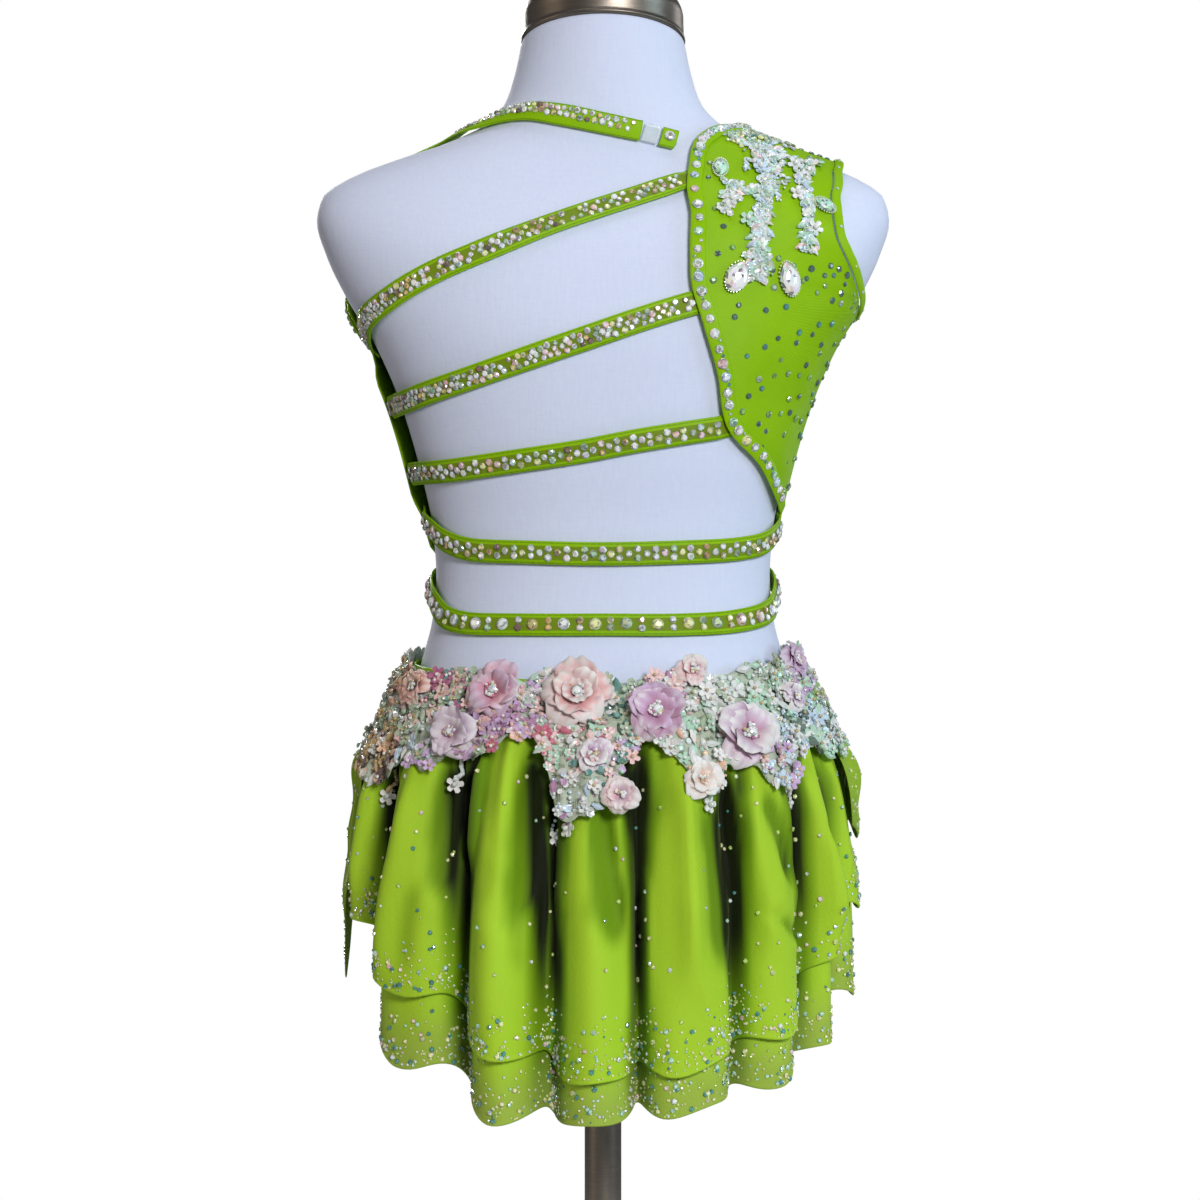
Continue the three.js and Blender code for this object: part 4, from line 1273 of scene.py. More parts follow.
# ---------------------------------------------------------------- the form and its stand
@dataclass
class DressForm:
    """The limbless form, its neck cap and the stand under it."""

    bottom: float = 262.0
    neck: float = 785.0
    base_profile: tuple[Place, ...] = (
        (0.3, 0.2), (146, 0.2), (149.2, 1.0), (149.9, 2.6), (149.9, 6.4), (149, 8.4), (147, 9.8), (140, 10),
        (90, 10), (40, 10.0), (24.5, 10.1), (22.0, 11.2), (21.0, 13.6), (20.9, 21), (20.3, 24.2), (18, 25.9),
        (12, 26), (0.3, 26),
    )
    pole_profile: tuple[Place, ...] = (
        (0.2, 26.4), (10.2, 26.4), (10.9, 27.2), (11, 60), (11, 230), (10.9, 260.8), (10.2, 261.6), (0.2, 261.6),
    )

    def _stack(self, shape: Surface, heights: Array, insets: Array, sides: int, name: str) -> Piece:
        """A smooth solid through rings, each drawn in by an inset, closed at both ends.

        Args:
            shape: The surface.
            heights: Heights of the rings.
            insets: How far each ring is drawn in from the surface.
            sides: Points round a ring.
            name: The object's name.

        Returns:
            The object.
        """
        turn = np.linspace(0, 360, sides, endpoint=False)[None, :]
        points = lifted(shape, turn, heights[:, None], -insets[:, None])
        cut = paired(turn * 0.2, heights[:, None] / 10)
        batch = Batch(wrap=FORM_ROUND)
        sweep(batch, points, cut)
        return batch.build(name)

    def body(self, cover: Material) -> None:
        """The covered form, with softened lower edge and neck.

        Args:
            cover: Its finish.
        """
        ends = np.array((0.0, 0.4, 1.2, 2.4, 4.0))
        low, high = self.bottom + ends, self.neck - ends[::-1] * 0.5
        heights = np.concatenate([low, np.linspace(self.bottom + 8, self.neck - 4, 104), high])
        to_end = np.minimum((heights - self.bottom) / 4, (self.neck - heights) / 2)
        insets = 3 * (1 - np.sqrt(1 - (1 - np.clip(to_end, 0, 1)) ** 2))
        piece = self._stack(FORM, heights, insets * np.where(heights < 500, 1.0, 0.3), 132, "form_body")
        dress(piece, cover, ["dress_form"])

    def cap(self, metal: Material) -> None:
        """The metal neck cap, with a rolled rim.

        Args:
            metal: Its finish.
        """
        heights = np.concatenate([785.5 + np.array((0, 0.4, 1.1, 2.0, 2.6, 3.1)), np.linspace(789.5, 817, 40)])
        rim = np.exp(-(((heights - 786.9) / 1.1) ** 2))
        insets = 0.9 - 0.9 * rim - 0.5 * smooth((heights - 795) / 12)
        dress(self._stack(CAP, heights, insets, 112, "neck_cap_metal"), metal, ["neck_cap"])

    def stand(self, metal: Material) -> None:
        """The round base with its boss, and the pole."""
        self._lathe(self.base_profile, 120, "stand_base_plate", metal, "stand_base")
        self._lathe(self.pole_profile, 48, "stand_pole_tube", metal, "stand_pole")

    def _lathe(self, profile: tuple[Place, ...], sides: int, name: str, metal: Material, node: str) -> None:
        """Turns a profile of radii and heights into a piece that stands for a solid.

        Args:
            profile: Radii and heights.
            sides: Points round a ring.
            name: The piece's name.
            metal: Its finish.
            node: The solid.
        """
        angle = np.linspace(0, 2 * np.pi, sides, endpoint=False)
        radius, z = (np.array(column)[:, None] for column in zip(*profile))
        points = paired(radius * np.cos(angle), radius * np.sin(angle), z)
        batch = Batch()
        sweep(batch, points)
        dress(batch.build(name), metal, [node])


# ---------------------------------------------------------------- the bodice
@dataclass(frozen=True)
class Panel:
    """A piece of the bodice whose rows join its right edge to its left one, from the bottom up."""

    name: str
    node: str
    sections: tuple[tuple[float, float, float, float], ...]
    rows: int
    cols: int
    creases: tuple[Crease, ...] = ()
    loose: float = 0.0

    def edge(self, which: str) -> tuple[Place, ...]:
        """Turns and heights of the right or the left edge, from the bottom up."""
        first = 0 if which == "right" else 2
        return tuple((row[first], row[first + 1]) for row in self.sections)

    def _lift(self, turn: Array, z: Array) -> Array:
        """How far the cloth's underside is from the form."""
        lift = AIR + sum((crease.height(turn, z) for crease in self.creases), 0 * turn)
        return lift + self.loosened(turn, z)

    def loosened(self, turn: Array | float, z: Array | float) -> Array:
        """How far a loose left edge stands away between the straps that hold it."""
        return self.loose * smooth((turn - 252) / 20) * smooth((z - 492) / 24) * smooth((598 - z) / 16)

    def at(self, up: Array, across: Array) -> tuple[Array, Array]:
        """Places on the panel.

        Args:
            up: Shares of the way up.
            across: Shares of the way across.

        Returns:
            Turns and heights.
        """
        edges = [Line(self.edge("right")), Line(self.edge("left"))]
        middle = np.array([((r[0] + r[2]) / 2, (r[1] + r[3]) / 2) for r in self.sections])
        run = np.concatenate([[0], np.cumsum(np.linalg.norm(np.diff(FORM(*middle.T), axis=0), axis=1))])
        rows = Column(run, np.linspace(0, 1, len(run)))(up * run[-1])
        if self.sections[0][0] >= self.sections[0][2]:
            edges.reverse()
        (ta, za), (tb, zb) = (edge.by_row(rows) for edge in edges)
        return lerp(ta, tb, across), lerp(za, zb, across)

    def grid(self) -> tuple[Array, Array, Array, Array]:
        """Lays out the panel's points.

        Returns:
            Turns, heights, places on the cut cloth and how far each point is from the edge.
        """
        up, across = edged(self.rows, 280.0)[:, None], edged(self.cols, 90.0)[None, :]
        turn, z = self.at(up, across)
        base = FORM(turn, z)
        sides = np.linalg.norm(np.diff(base, axis=1), axis=-1)
        wide = np.concatenate([np.zeros((len(up), 1)), np.cumsum(sides, 1)], 1)
        ups = np.linalg.norm(np.diff(base, axis=0), axis=-1)
        long = np.concatenate([np.zeros((1, across.shape[1])), np.cumsum(ups, 0)], 0)
        away = np.minimum.reduce([wide, wide[:, -1:] - wide, long, long[-1:] - long])
        return turn, z, np.stack([wide - wide[:, -1:] / 2, long], -1) / 10, away

    def make(self, cloth: Material) -> Piece:
        """Builds the panel.

        Args:
            cloth: Its finish.

        Returns:
            The piece.
        """
        turn, z, cut, away = self.grid()
        lift = self._lift(turn, z)
        half = 0.62 * rolled(away, 0.9)
        piece = thin_cloth(self.name, FORM, (turn, z), lift + 0.72, half, cut)
        return dress(piece, cloth, [self.node])


FRONT_SECTIONS = (
    (123, 417.6, 237, 417.6), (121, 438, 239, 438), (117, 456, 243, 456), (114.6, 472, 245.4, 472),
    (104, 483, 258, 481), (93.2, 492, 271, 489), (92, 530, 272, 530), (92, 575, 272, 575), (92.2, 613.5, 272, 612),
    (110, 627, 252, 633), (124, 640, 236, 648), (134, 662, 216, 665), (134, 684, 188, 688), (124, 700, 148, 713),
    (90.4, 709, 90.4, 729),
)
BACK_SECTIONS = (
    (91.6, 506, 74, 504), (91.6, 520, 62, 516), (91.6, 536, 50, 532), (91.6, 554, 36, 552), (91.6, 580, 30, 582),
    (91.6, 600, 24, 608), (91.4, 614, 19.5, 630), (71, 626, 18, 650), (57, 640, 17.5, 672), (46.5, 662, 17.5, 693),
    (46, 684, 24, 712), (55, 700, 40, 724), (89.6, 709, 89.6, 729),
)


@dataclass
class Bodice:
    """The two panels, their bindings, the straps across the back and the neck band."""

    front: Panel = Panel(
        "front_bodice_cloth", "front_bodice", FRONT_SECTIONS, 62, 56, loose=5.0,
        creases=creased(
            (112, 600, 150, 640, 9, 0.8, 3), (118, 560, 160, 585, 10, -0.7, 2), (262, 560, 222, 596, 10, 0.7, -3),
            (140, 470, 176, 500, 9, 0.6, 2), (232, 462, 200, 494, 9, 0.6, -2), (120, 690, 150, 655, 8, -0.7, 1),
        ),
    )
    back: Panel = Panel(
        "back_panel_cloth", "back_shoulder_panel", BACK_SECTIONS, 66, 48,
        creases=creased(
            (34, 566, 80, 520, 7, 0.7, 3), (46, 580, 88, 548, 8, -0.6, 3), (44, 700, 27, 660, 7, 0.5, 2),
            (50, 640, 84, 600, 8, 0.5, -3),
        ),
    )
    strap_width: float = 14.0
    straps: tuple[tuple[str, tuple[Place, ...]], ...] = (
        ("strap_1_shoulder_blade", (
            (-90, 601), (-86.4, 603), (-79, 607.5), (-68, 614), (-50, 625), (-28, 647), (-6.5, 671), (16.1, 694),
            (20, 698),
        )),
        ("strap_2_upper_back", (
            (-90.4, 567), (-72, 567), (-59, 569), (-37, 578), (-5.5, 600), (19.7, 621), (24, 624.4),
        )),
        ("strap_3_mid_back", (
            (-90.4, 527), (-71, 526), (-46.5, 527), (-8.5, 536), (10.5, 543), (34.2, 551), (38.6, 552.4),
        )),
        ("strap_4_lower_back", (
            (-90.4, 501), (-72, 492), (-60, 485), (-47, 480), (-24, 478), (0, 477), (24, 478), (46, 480),
            (63.5, 484), (77, 490), (91, 495.5), (96, 498),
        )),
        ("strap_5_waist", (
            (-118.5, 466), (-102, 462), (-88, 457), (-71, 448), (-60, 440), (-48, 436), (-25, 435), (0, 435),
            (25, 435), (45, 437), (69, 444), (86, 455), (102, 462), (118.5, 466),
        )),
    )
    neck_band: tuple[Place, ...] = (
        (-134.5, 660), (-131, 684), (-122, 706), (-106, 721), (-90, 727), (-67.5, 731), (-56, 735), (-38.5, 737),
        (-15.5, 734), (2, 729.5), (14.4, 725.5),
    )
    bands: dict[str, Ribbon] = field(init=False)

    def __post_init__(self) -> None:
        """Lays out every band of the bodice."""
        back_edge = tuple((min(turn, 85), z) for turn, z in self.back.edge("left"))
        neckline = tuple((max(turn, 95), z) for turn, z in self.front.edge("left")[8:])[::-1]
        armhole = (*self.back.edge("right")[7:], *self.front.edge("right")[9:14][::-1], (90.6, 619))
        self.bands = {
            "back_edge_binding": Ribbon(back_edge, 9, ON_CLOTH, TRIM, 220, -2.2, 0.4),
            "neckline_binding": Ribbon(neckline, 7, ON_CLOTH, TRIM, 180, -3.9, 0.4),
            "armhole_binding": Ribbon(armhole, 5.5, ON_CLOTH, TRIM, 180, -3.2, 0.4, closed=True),
        }
        for name, path in self.straps:
            rises = float(self.front.loosened(path[0][0] + 360, path[0][1]))
            self.bands[name] = Ribbon(path, self.strap_width, AIR, STRETCH, 190, rises=rises, tucks=5.0)
        self.bands["neck_band"] = Ribbon(self.neck_band, 13, AIR, STRETCH, 150)
        self.bands["neck_tab"] = Ribbon(((20.2, 722.3), (24.2, 720)), 13, AIR, STRETCH, 12)

    def make(
        self, cloth: Material, band: Material, beaded: Material, plastic: Material
    ) -> None:
        """Builds all cloth pieces of the bodice and the clasp.

        Args:
            cloth: Jersey of the panels.
            band: Jersey with stitched edges, for bindings.
            beaded: Jersey of the straps, with a painted shadow under their stones.
            plastic: The clasp's finish.
        """
        front, back = self.front.make(cloth), self.back.make(cloth)
        for name, ribbon in self.bands.items():
            finish = beaded if name.startswith("strap") else band
            piece = dress(ribbon.make(f"{name}_cloth"), finish, [name])
            under = "front_bodice" if "binding" in name else "dress_form"
            under = "back_shoulder_panel" if "edge" in name else under
            wide, long = ribbon.width * MM, max(ribbon.length() * MM, 0.01)
            wide * long
        clasp = Ribbon(((15, 725), (19.6, 722.6)), 12, AIR + 0.2, 1.3, 10, crown=0.2)
        dress(clasp.make("neck_clasp_link"), plastic, ["neck_clasp"])


# ---------------------------------------------------------------- the skirt
@dataclass(frozen=True)
class Drape:
    """A puffed fall of chiffon beside the hip.

    `lows` is its lower edge by the share of the way across, `over` how far it clears the folds under it where they
    are fully open, and a row of `lobes` is the height, the puff and the half height of one belly.
    """

    name: str
    node: str
    spans: tuple[float, float]
    high: float
    lows: tuple[Place, ...]
    over: float
    lobes: tuple[tuple[float, float, float], ...]

    def turned(self, turn: Array) -> Array:
        """A turn in the same round as the drape."""
        middle = sum(self.spans) / 2
        return np.mod(np.asarray(turn, float) - middle + 180, 360) - 180 + middle

    def bulge(self, turn: Array, z: Array) -> Array:
        """How far the puffs and swags stand out.

        Args:
            turn: Turns.
            z: Heights.

        Returns:
            Lifts in millimetres.
        """
        wide = np.clip((self.turned(turn) - self.spans[0]) / (self.spans[1] - self.spans[0]), 0, 1)
        low = Column(*zip(*self.lows))(wide)
        up = np.clip((z - low) / (self.high - low), 0, 1)
        lobe = sum(out * np.exp(-(((z - at) / tall) ** 2)) for at, out, tall in self.lobes)
        lobe = lobe * np.sin(np.pi * np.clip(up, 0.002, 0.998)) ** 0.3
        swags = 1.5 * np.sin(2 * np.pi * (4.4 * wide + 0.5 * up + 0.3 * np.sin(5 * up)))
        swags = swags + 0.8 * np.sin(2 * np.pi * (8.3 * wide - 0.9 * up + 0.3))
        swags = swags * np.sin(np.pi * wide) ** 0.6 * np.sin(np.pi * up) ** 0.7
        return lobe * np.sin(np.pi * (0.12 + 0.76 * wide)) + swags

    def height(self, turn: Array, z: Array) -> Array:
        """How far its outer face is from the ring that the skirt follows."""
        return SKIRT.opened(z) * self.over + TRIM + SEAM + CHIFFON + 0.3 + self.bulge(turn, z)

    def outer(self, turn: Array, z: Array) -> Array:
        """Its outer face, as a surface."""
        return lifted(SKIRT.ring, turn, z, self.height(turn, z))

    def share(self, turn: Array, z: Array) -> Array:
        """Whether what is sewn on at a place lies over the drape, from 0 to 1."""
        turn = self.turned(turn)
        inside = smooth((turn - self.spans[0] + 6) / 5) * smooth((self.spans[1] + 6 - turn) / 5)
        return inside * smooth((self.high + 9 - z) / 7)

    def make(self, cloth: Material) -> None:
        """Builds the drape.

        Args:
            cloth: Its finish.
        """
        across, up = edged(46, 90.0)[None, :], edged(56, 120.0)[:, None]
        low = Column(*zip(*self.lows))(across)
        z = lerp(low, self.high, up)
        ripple = 1.3 * np.sin(8.5 * up + 1) * np.sin(np.pi * up) * (2 * across - 1) ** 2
        turn = lerp(self.spans[0], self.spans[1], across) + ripple * (1 - 2 * across)
        wide = np.broadcast_to(across, z.shape)
        away = np.minimum(np.minimum(wide, 1 - wide) * 90, np.minimum(up, 1 - up) * 110)
        half = 0.5 * rolled(away, 1.0)
        # painted light and shade: darker where the drape sinks between its puffs, brighter where they stand out
        puffed = smooth((self.bulge(turn, z) + 2.6) / 5)[..., None]
        tint = lerp(np.array(paint(96, 124, 10)), np.array(paint(156, 194, 40)), puffed)
        lift, cut = self.height(turn, z) - 0.5, paired(wide * 9, z / 10)
        piece = thin_cloth(self.name, SKIRT.ring, (turn, z), lift, half, cut, tint)
        dress(piece, cloth, [self.node])
        span, drop = self.spans[1] - self.spans[0], self.high - min(low for _, low in self.lows)
        cut = (span * 3.0 * MM, drop * 1.08 * MM)
        min(area_of(piece), cut[0] * cut[1])


DRAPES = (
    Drape(
        "left_hip_drape_cloth", "left_hip_drape", (-116, -76), 398,
        ((0, 268), (0.3, 262), (0.52, 222), (0.68, 256), (1, 290)), 5.5, ((350, 6, 13), (312, 1.8, 12), (272, 2, 18)),
    ),
    Drape(
        "right_hip_drape_cloth", "right_hip_drape", (74, 112), 400,
        ((0, 316), (0.5, 306), (1, 330)), 9, ((345, 6, 17), (316, 2, 8)),
    ),
)


def on_lace(turn: Array, z: Array) -> Array:
    """Where the hip lace lies: over the gathers, and over the drapes where they are under it.

    Args:
        turn: Turns.
        z: Heights.

    Returns:
        Points.
    """
    turn, z = spread(turn, z)
    points = ON_LACE(turn, z)
    for drape in DRAPES:
        puffed = lifted(SKIRT.ring, turn, z, drape.height(turn, z) + 0.2)
        points = lerp(points, puffed, drape.share(turn, z)[..., None])
    return points


@dataclass
class Skirt:
    """The yoke, the two gathered tiers and the drapes beside the hips."""

    hem_near: tuple[float, ...] = (0.0, 0.3, 0.7, 1.2, 1.8, 2.6, 4.0)

    def yoke(self, cloth: Material) -> None:
        """The stretch band that the skirt is gathered on.

        Args:
            cloth: Its finish.
        """
        turn = np.linspace(0, 360, 180, endpoint=False)[None, :]
        u = edged(12, 50.0)[:, None]
        z = lerp(YOKE_LOW, waistline(turn), u)
        half = 0.62 * rolled(np.minimum(u, 1 - u) * 50, 0.9)
        cut = paired(turn * 0.2, z / 10)
        piece = thin_cloth("hip_yoke_cloth", FORM, (turn, z), AIR + 0.72, half, cut, ringed=True)
        dress(piece, cloth, ["hip_yoke"])

    def tier(self, node: str, spans: Place, tier: Tier, cloth: Material, rows: int, pitch: float) -> None:
        """One gathered piece between the side seams, with a rolled hem.

        Args:
            node: The solid it stands for.
            spans: Turns of its two side seams.
            tier: Which layer it is.
            cloth: Its finish.
            rows: Rows between hem and top.
            pitch: Degrees between its columns.
        """
        surface, top = (ON_SKIRT, upper_top) if tier is Tier.UPPER else (ON_LOWER, lower_top)
        turn = np.linspace(spans[0] + SIDE_GAP, spans[1] - SIDE_GAP, int((spans[1] - spans[0]) / pitch))
        hem, high = SKIRT.hem(turn, tier)[None, :], top(turn)[None, :]
        down = high - hem
        near = np.array(self.hem_near)[:, None] / down
        far = lerp(6.0 / down, 1.0, np.linspace(0, 1, rows)[:, None] ** 1.1)
        share = np.concatenate([near, far])
        z = lerp(hem, high, share)
        above = share * down
        roll = 0.42 * np.exp(-(((above - 1.1) / 0.8) ** 2))
        half = (0.32 + roll) * rolled(above, 0.8) * rolled((high - z) + 0.3, 0.8)
        grid = np.broadcast_to(turn[None, :], z.shape)
        run = np.linalg.norm(np.diff(surface(turn, hem[0]), axis=0), axis=1)
        along = np.concatenate([[0.0], np.cumsum(run)])[None, :]
        # the tint holds painted highlights on the ridges and painted shade in the folds
        cut, tint = paired(along, z) / 10, SKIRT.light(grid, z, tier)
        piece = thin_cloth(f"{node}_cloth", surface, (grid, z), -0.5, half, cut, tint)
        dress(piece, cloth, [node])
        cut_wide, cut_long = float(run.sum()) * MM, float((high - hem).max()) * MM
        LOG.info("%s is cut %.2f by %.2f m", node, cut_wide, cut_long)

    def make(self, jersey: Material, cloth: Material) -> None:
        """Builds the skirt.

        Args:
            jersey: The yoke's finish.
            cloth: The tiers' and drapes' finish.
        """
        self.yoke(jersey)
        back, front = (-79.0, RIGHT_SEAM), (RIGHT_SEAM, LEFT_SEAM)
        for node, spans, tier, rows, pitch in (
            ("upper_tier_back", back, Tier.UPPER, 70, 0.8), ("upper_tier_front", front, Tier.UPPER, 42, 1.0),
            ("lower_tier_back", back, Tier.LOWER, 62, 0.8), ("lower_tier_front", front, Tier.LOWER, 40, 1.0),
        ):
            self.tier(node, spans, tier, cloth, rows, pitch)
        for drape in DRAPES:
            drape.make(cloth)


# ---------------------------------------------------------------- small parts that are set many times
class Tone(Enum):
    """The colours of beads, sequins, lace and petals."""

    SILVER = paint(222, 228, 224)
    WHITE = paint(244, 242, 238)
    SAGE = paint(164, 186, 150)
    MINT = paint(176, 220, 190)
    ICE = paint(196, 220, 240)
    LILAC = paint(206, 168, 214)
    MAUVE = paint(178, 118, 164)
    CORAL = paint(238, 132, 116)
    BLUSH = paint(248, 200, 196)
    PEACH = paint(246, 190, 150)
    ROSE = paint(206, 74, 112)
    MAGENTA = paint(178, 54, 124)
    TEAL = paint(36, 132, 116)
    FOREST = paint(18, 82, 56)
    LEAF = paint(116, 168, 44)
    LIME = paint(196, 226, 96)
    STRAW = paint(226, 226, 150)
    GOLD = paint(196, 164, 88)
    BROWN = paint(112, 70, 52)


def tones(names: str) -> tuple[Tone, ...]:
    """The tones that have these names."""
    return tuple(Tone[name.upper()] for name in names.split())


@dataclass(frozen=True)
class Shape:
    """A small closed part, 1 to each side of its middle and resting on 0, with a painted shade for each face that
    stands in for how light falls on it and the glints of facets.
    """

    points: Array
    faces: tuple[Array, ...]
    shades: tuple[Array, ...]


def stacked(rings: Sequence[Sequence[float]], sides: int, shades: Sequence[float], point: float = 0.0) -> Shape:
    """A small part through rings.

    Args:
        rings: Radius, height and twist, in steps of a side, of each ring from the bottom up.
        sides: Points round a ring.
        shades: The painted shade of each band of faces, then of the top, standing in for how light falls on them and
            for the glints of cut facets.
        point: How far it is drawn out to a point at both ends, from 0 to 1, or at one end if negative.

    Returns:
        The part.
    """
    points = []
    for radius, height, twist in rings:
        angle = 2 * np.pi * (np.arange(sides) + twist) / sides
        x, y = np.cos(angle), np.sin(angle)
        sharp = abs(point) if point >= 0 else -point * (y > 0)
        x = x * (1 - sharp * np.abs(y) ** 1.5 * 0.55)
        points.append(np.stack([radius * x, radius * y, np.full(sides, height)], 1))
    band = grid_faces(len(rings), sides, 0, True)
    low, high = np.arange(sides)[None, ::-1], (np.arange(sides) + (len(rings) - 1) * sides)[None]
    ends = np.concatenate([low, high])
    # painted shade for each face: the bands' shades, then the bottom's and the top's
    tones = np.repeat(shades[:-1], sides), np.array([shades[0], shades[-1]])
    return Shape(np.concatenate(points), (band, ends), tones)


# the last numbers of each part are painted shades: darker low faces and a brighter top stand in for light and glints
GEM = stacked(((0.8, -0.1, 0), (1, 0.1, 0), (0.9, 0.3, 0.5), (0.52, 0.56, 0)), 6, (0.5, 0.7, 0.95, 1.25))
GREAT_CUT = ((0.9, -0.1, 0), (1, 0.12, 0), (0.84, 0.3, 0.5), (0.66, 0.46, 0), (0.42, 0.56, 0.5))
GREAT_GEM = stacked(GREAT_CUT, 10, (0.5, 0.8, 0.9, 1.15, 1.35))
LARGE_CUT = ((0.92, -0.1, 0), (1, 0.12, 0), (0.8, 0.36, 0.5), (0.5, 0.56, 0), (0.24, 0.64, 0.5))
MARQUISE = stacked(LARGE_CUT, 14, (0.4, 0.7, 0.95, 1.2, 1.4), 0.85)
DROP = stacked(LARGE_CUT, 14, (0.4, 0.7, 0.95, 1.2, 1.4), -0.85)
CHIP = stacked(((1, -0.1, 0), (0.95, 0.3, 0.5), (0.52, 0.56, 0)), 5, (0.6, 0.95, 1.25))
SEQUIN = stacked(((0.3, 0.0, 0), (1, 0.14, 0), (0.98, 0.2, 0), (0.3, 0.06, 0)), 6, (0.7, 0.9, 1.1, 0.8))
BEAD = stacked(((0.5, 0.06, 0), (1, 0.6, 0), (0.92, 1.1, 0), (0.4, 1.5, 0)), 5, (1, 1, 1, 1))
BALL = ((0.3, 0.02, 0), (0.8, 0.35, 0), (1, 0.9, 0), (0.86, 1.4, 0), (0.5, 1.78, 0), (0.16, 1.94, 0))
PEARL = stacked(BALL, 10, (1,) * 6)
LEAF_SHAPE = stacked(((0.7, -0.04, 0), (1, 0.06, 0), (0.5, 0.3, 0)), 8, (0.8, 1.0, 1.1), 1.0)


def blossom() -> Shape:
    """A small flat blossom of five petals.

    Returns:
        The part.
    """
    k = np.arange(20)
    angle = np.pi * k / 10
    lobe = 0.5 + 0.5 * np.abs(np.cos(2.5 * angle)) ** 0.5
    ways = np.stack([np.cos(angle), np.sin(angle), 0 * angle], 1)
    rings = [ways * (r * lobe)[:, None] + (0, 0, h) for r, h in ((0.9, 0.0), (1.0, 0.24), (0.3, 0.1))]
    faces = (grid_faces(3, 20, 0, True), np.stack([k[::-1], k + 40]))
    # painted shades: the top of the petals lighter than their sides, the bottom and the middle darker
    return Shape(np.concatenate(rings), faces, (np.repeat((0.85, 1.05), 20), np.array([0.8, 0.6])))


TINY_BLOSSOM = blossom()


@dataclass
class Spots:
    """Where small parts are set: points, the way each faces and the way its top points."""

    at: Array
    out: Array
    up: Array

    @staticmethod
    def on(surface: Surface, turn: Array, z: Array, lift: Array | float, step: float = 0.8) -> "Spots":
        """Spots on a surface.

        Args:
            surface: The surface.
            turn: Their turns.
            z: Their heights.
            lift: How far from the surface they are.
            step: How wide a patch gives the way they face.

        Returns:
            The spots.
        """
        turn, z, lift = (np.ravel(a) for a in np.broadcast_arrays(np.asarray(turn, float), z, lift))
        out = normal_of(surface, turn, z, step)
        up = surface(turn, z + step) - surface(turn, z - step)
        return Spots(surface(turn, z) + out * lift[:, None], out, up).squared()

    def squared(self) -> "Spots":
        """The same spots with `up` square to `out` and both 1 long."""
        out = self.out / np.linalg.norm(self.out, axis=1, keepdims=True)
        up = self.up - out * (self.up * out).sum(1, keepdims=True)
        return Spots(self.at, out, up / np.linalg.norm(up, axis=1, keepdims=True))

    def turned(self, angle: Array | float) -> "Spots":
        """The spots turned round the way they face, in degrees."""
        a = np.radians(np.broadcast_to(angle, len(self.at)))[:, None]
        return Spots(self.at, self.out, self.up * np.cos(a) + np.cross(self.out, self.up) * np.sin(a))

    def raised(self, by: float) -> "Spots":
        """The spots, moved out by a distance."""
        return Spots(self.at + self.out * by, self.out, self.up)

    def copied(self, points: Array) -> "Spots":
        """Spots at other points that face as the first of these does."""
        ones = np.ones((len(points), 1))
        return Spots(points, self.out[:1] * ones, self.up[:1] * ones)

    def tilted(self, rng: np.random.Generator, amount: float) -> "Spots":
        """The spots, each leaning a little its own way."""
        return Spots(self.at, self.out + rng.normal(0, amount, self.out.shape), self.up).squared()


@dataclass
class Setter:
    """Sets small parts of one finish into one mesh, from a seeded source of chance."""

    seed: int
    batch: Batch = field(default_factory=Batch)
    rng: np.random.Generator = field(init=False)

    def __post_init__(self) -> None:
        """Starts the source of chance."""
        self.rng = np.random.default_rng(self.seed)

    def pick(self, among: Sequence[Tone], count: int, weights: Sequence[float] | None = None) -> Array:
        """Tints drawn from tones.

        Args:
            among: The tones.
            count: How many tints.
            weights: The share of each tone.

        Returns:
            Tints, (count, 3).
        """
        share = None if weights is None else np.array(weights) / sum(weights)
        return np.array([tone.value for tone in among])[self.rng.choice(len(among), count, p=share)]

    def put(
        self,
        shape: Shape,
        spots: Spots,
        size: Array | float,
        tints: Array,
        tall: float = 1.0,
        narrow: float = 1.0,
        glint: float = 0.0,
    ) -> None:
        """Sets one part at each spot.

        Args:
            shape: The part.
            spots: Where.
            size: The part's length in millimetres, one or one for each.
            tints: The part's tint, one for each.
            tall: How high it is against its length.
            narrow: How wide it is against its length.
            glint: How much its faces differ in painted shade and hue, at random, standing in for glints and
                reflections.
        """
        count = len(spots.at)
        side, up, out = (way[:, None] for way in (np.cross(spots.up, spots.out), spots.up, spots.out))
        half = np.broadcast_to(size, count)[:, None, None] / 2
        x, y, h = (shape.points[:, k][None, :, None] for k in range(3))
        points = spots.at[:, None] + half * (side * x * narrow + up * y + out * h * tall)
        step = np.arange(count)[:, None, None] * len(shape.points)
        faces = [(group[None] + step).reshape(-1, group.shape[1]) for group in shape.faces]
        colour = []
        # painted light: each face's painted shade, varied at random by glint, times the part's tint
        for shades in shape.shades:
            light = shades[None, :] * (1 + glint * self.rng.uniform(-1, 1, (count, len(shades))))
            hue = 1 + 0.28 * glint * self.rng.uniform(-1, 1, (count, len(shades), 3))
            colour.append((tints[:, None] * light[..., None] * hue).reshape(-1, 3))
        self.batch.add(points, faces, tint=np.clip(np.concatenate(colour), 0, 1))

    def finish(self, name: str, finish: Material, slot: str, replaces: Sequence[str] = (), flat: bool = True) -> None:
        """Makes the piece, whose facets show if it is flat."""
        dress(self.batch.build(name, flat), finish, replaces)


EDGE_STONES = tones("silver white blush mint ice straw")
SPRAY_TONES = tones("silver white mint ice sage blush")
STRAP_STONES = tones("silver white gold sage blush straw brown")


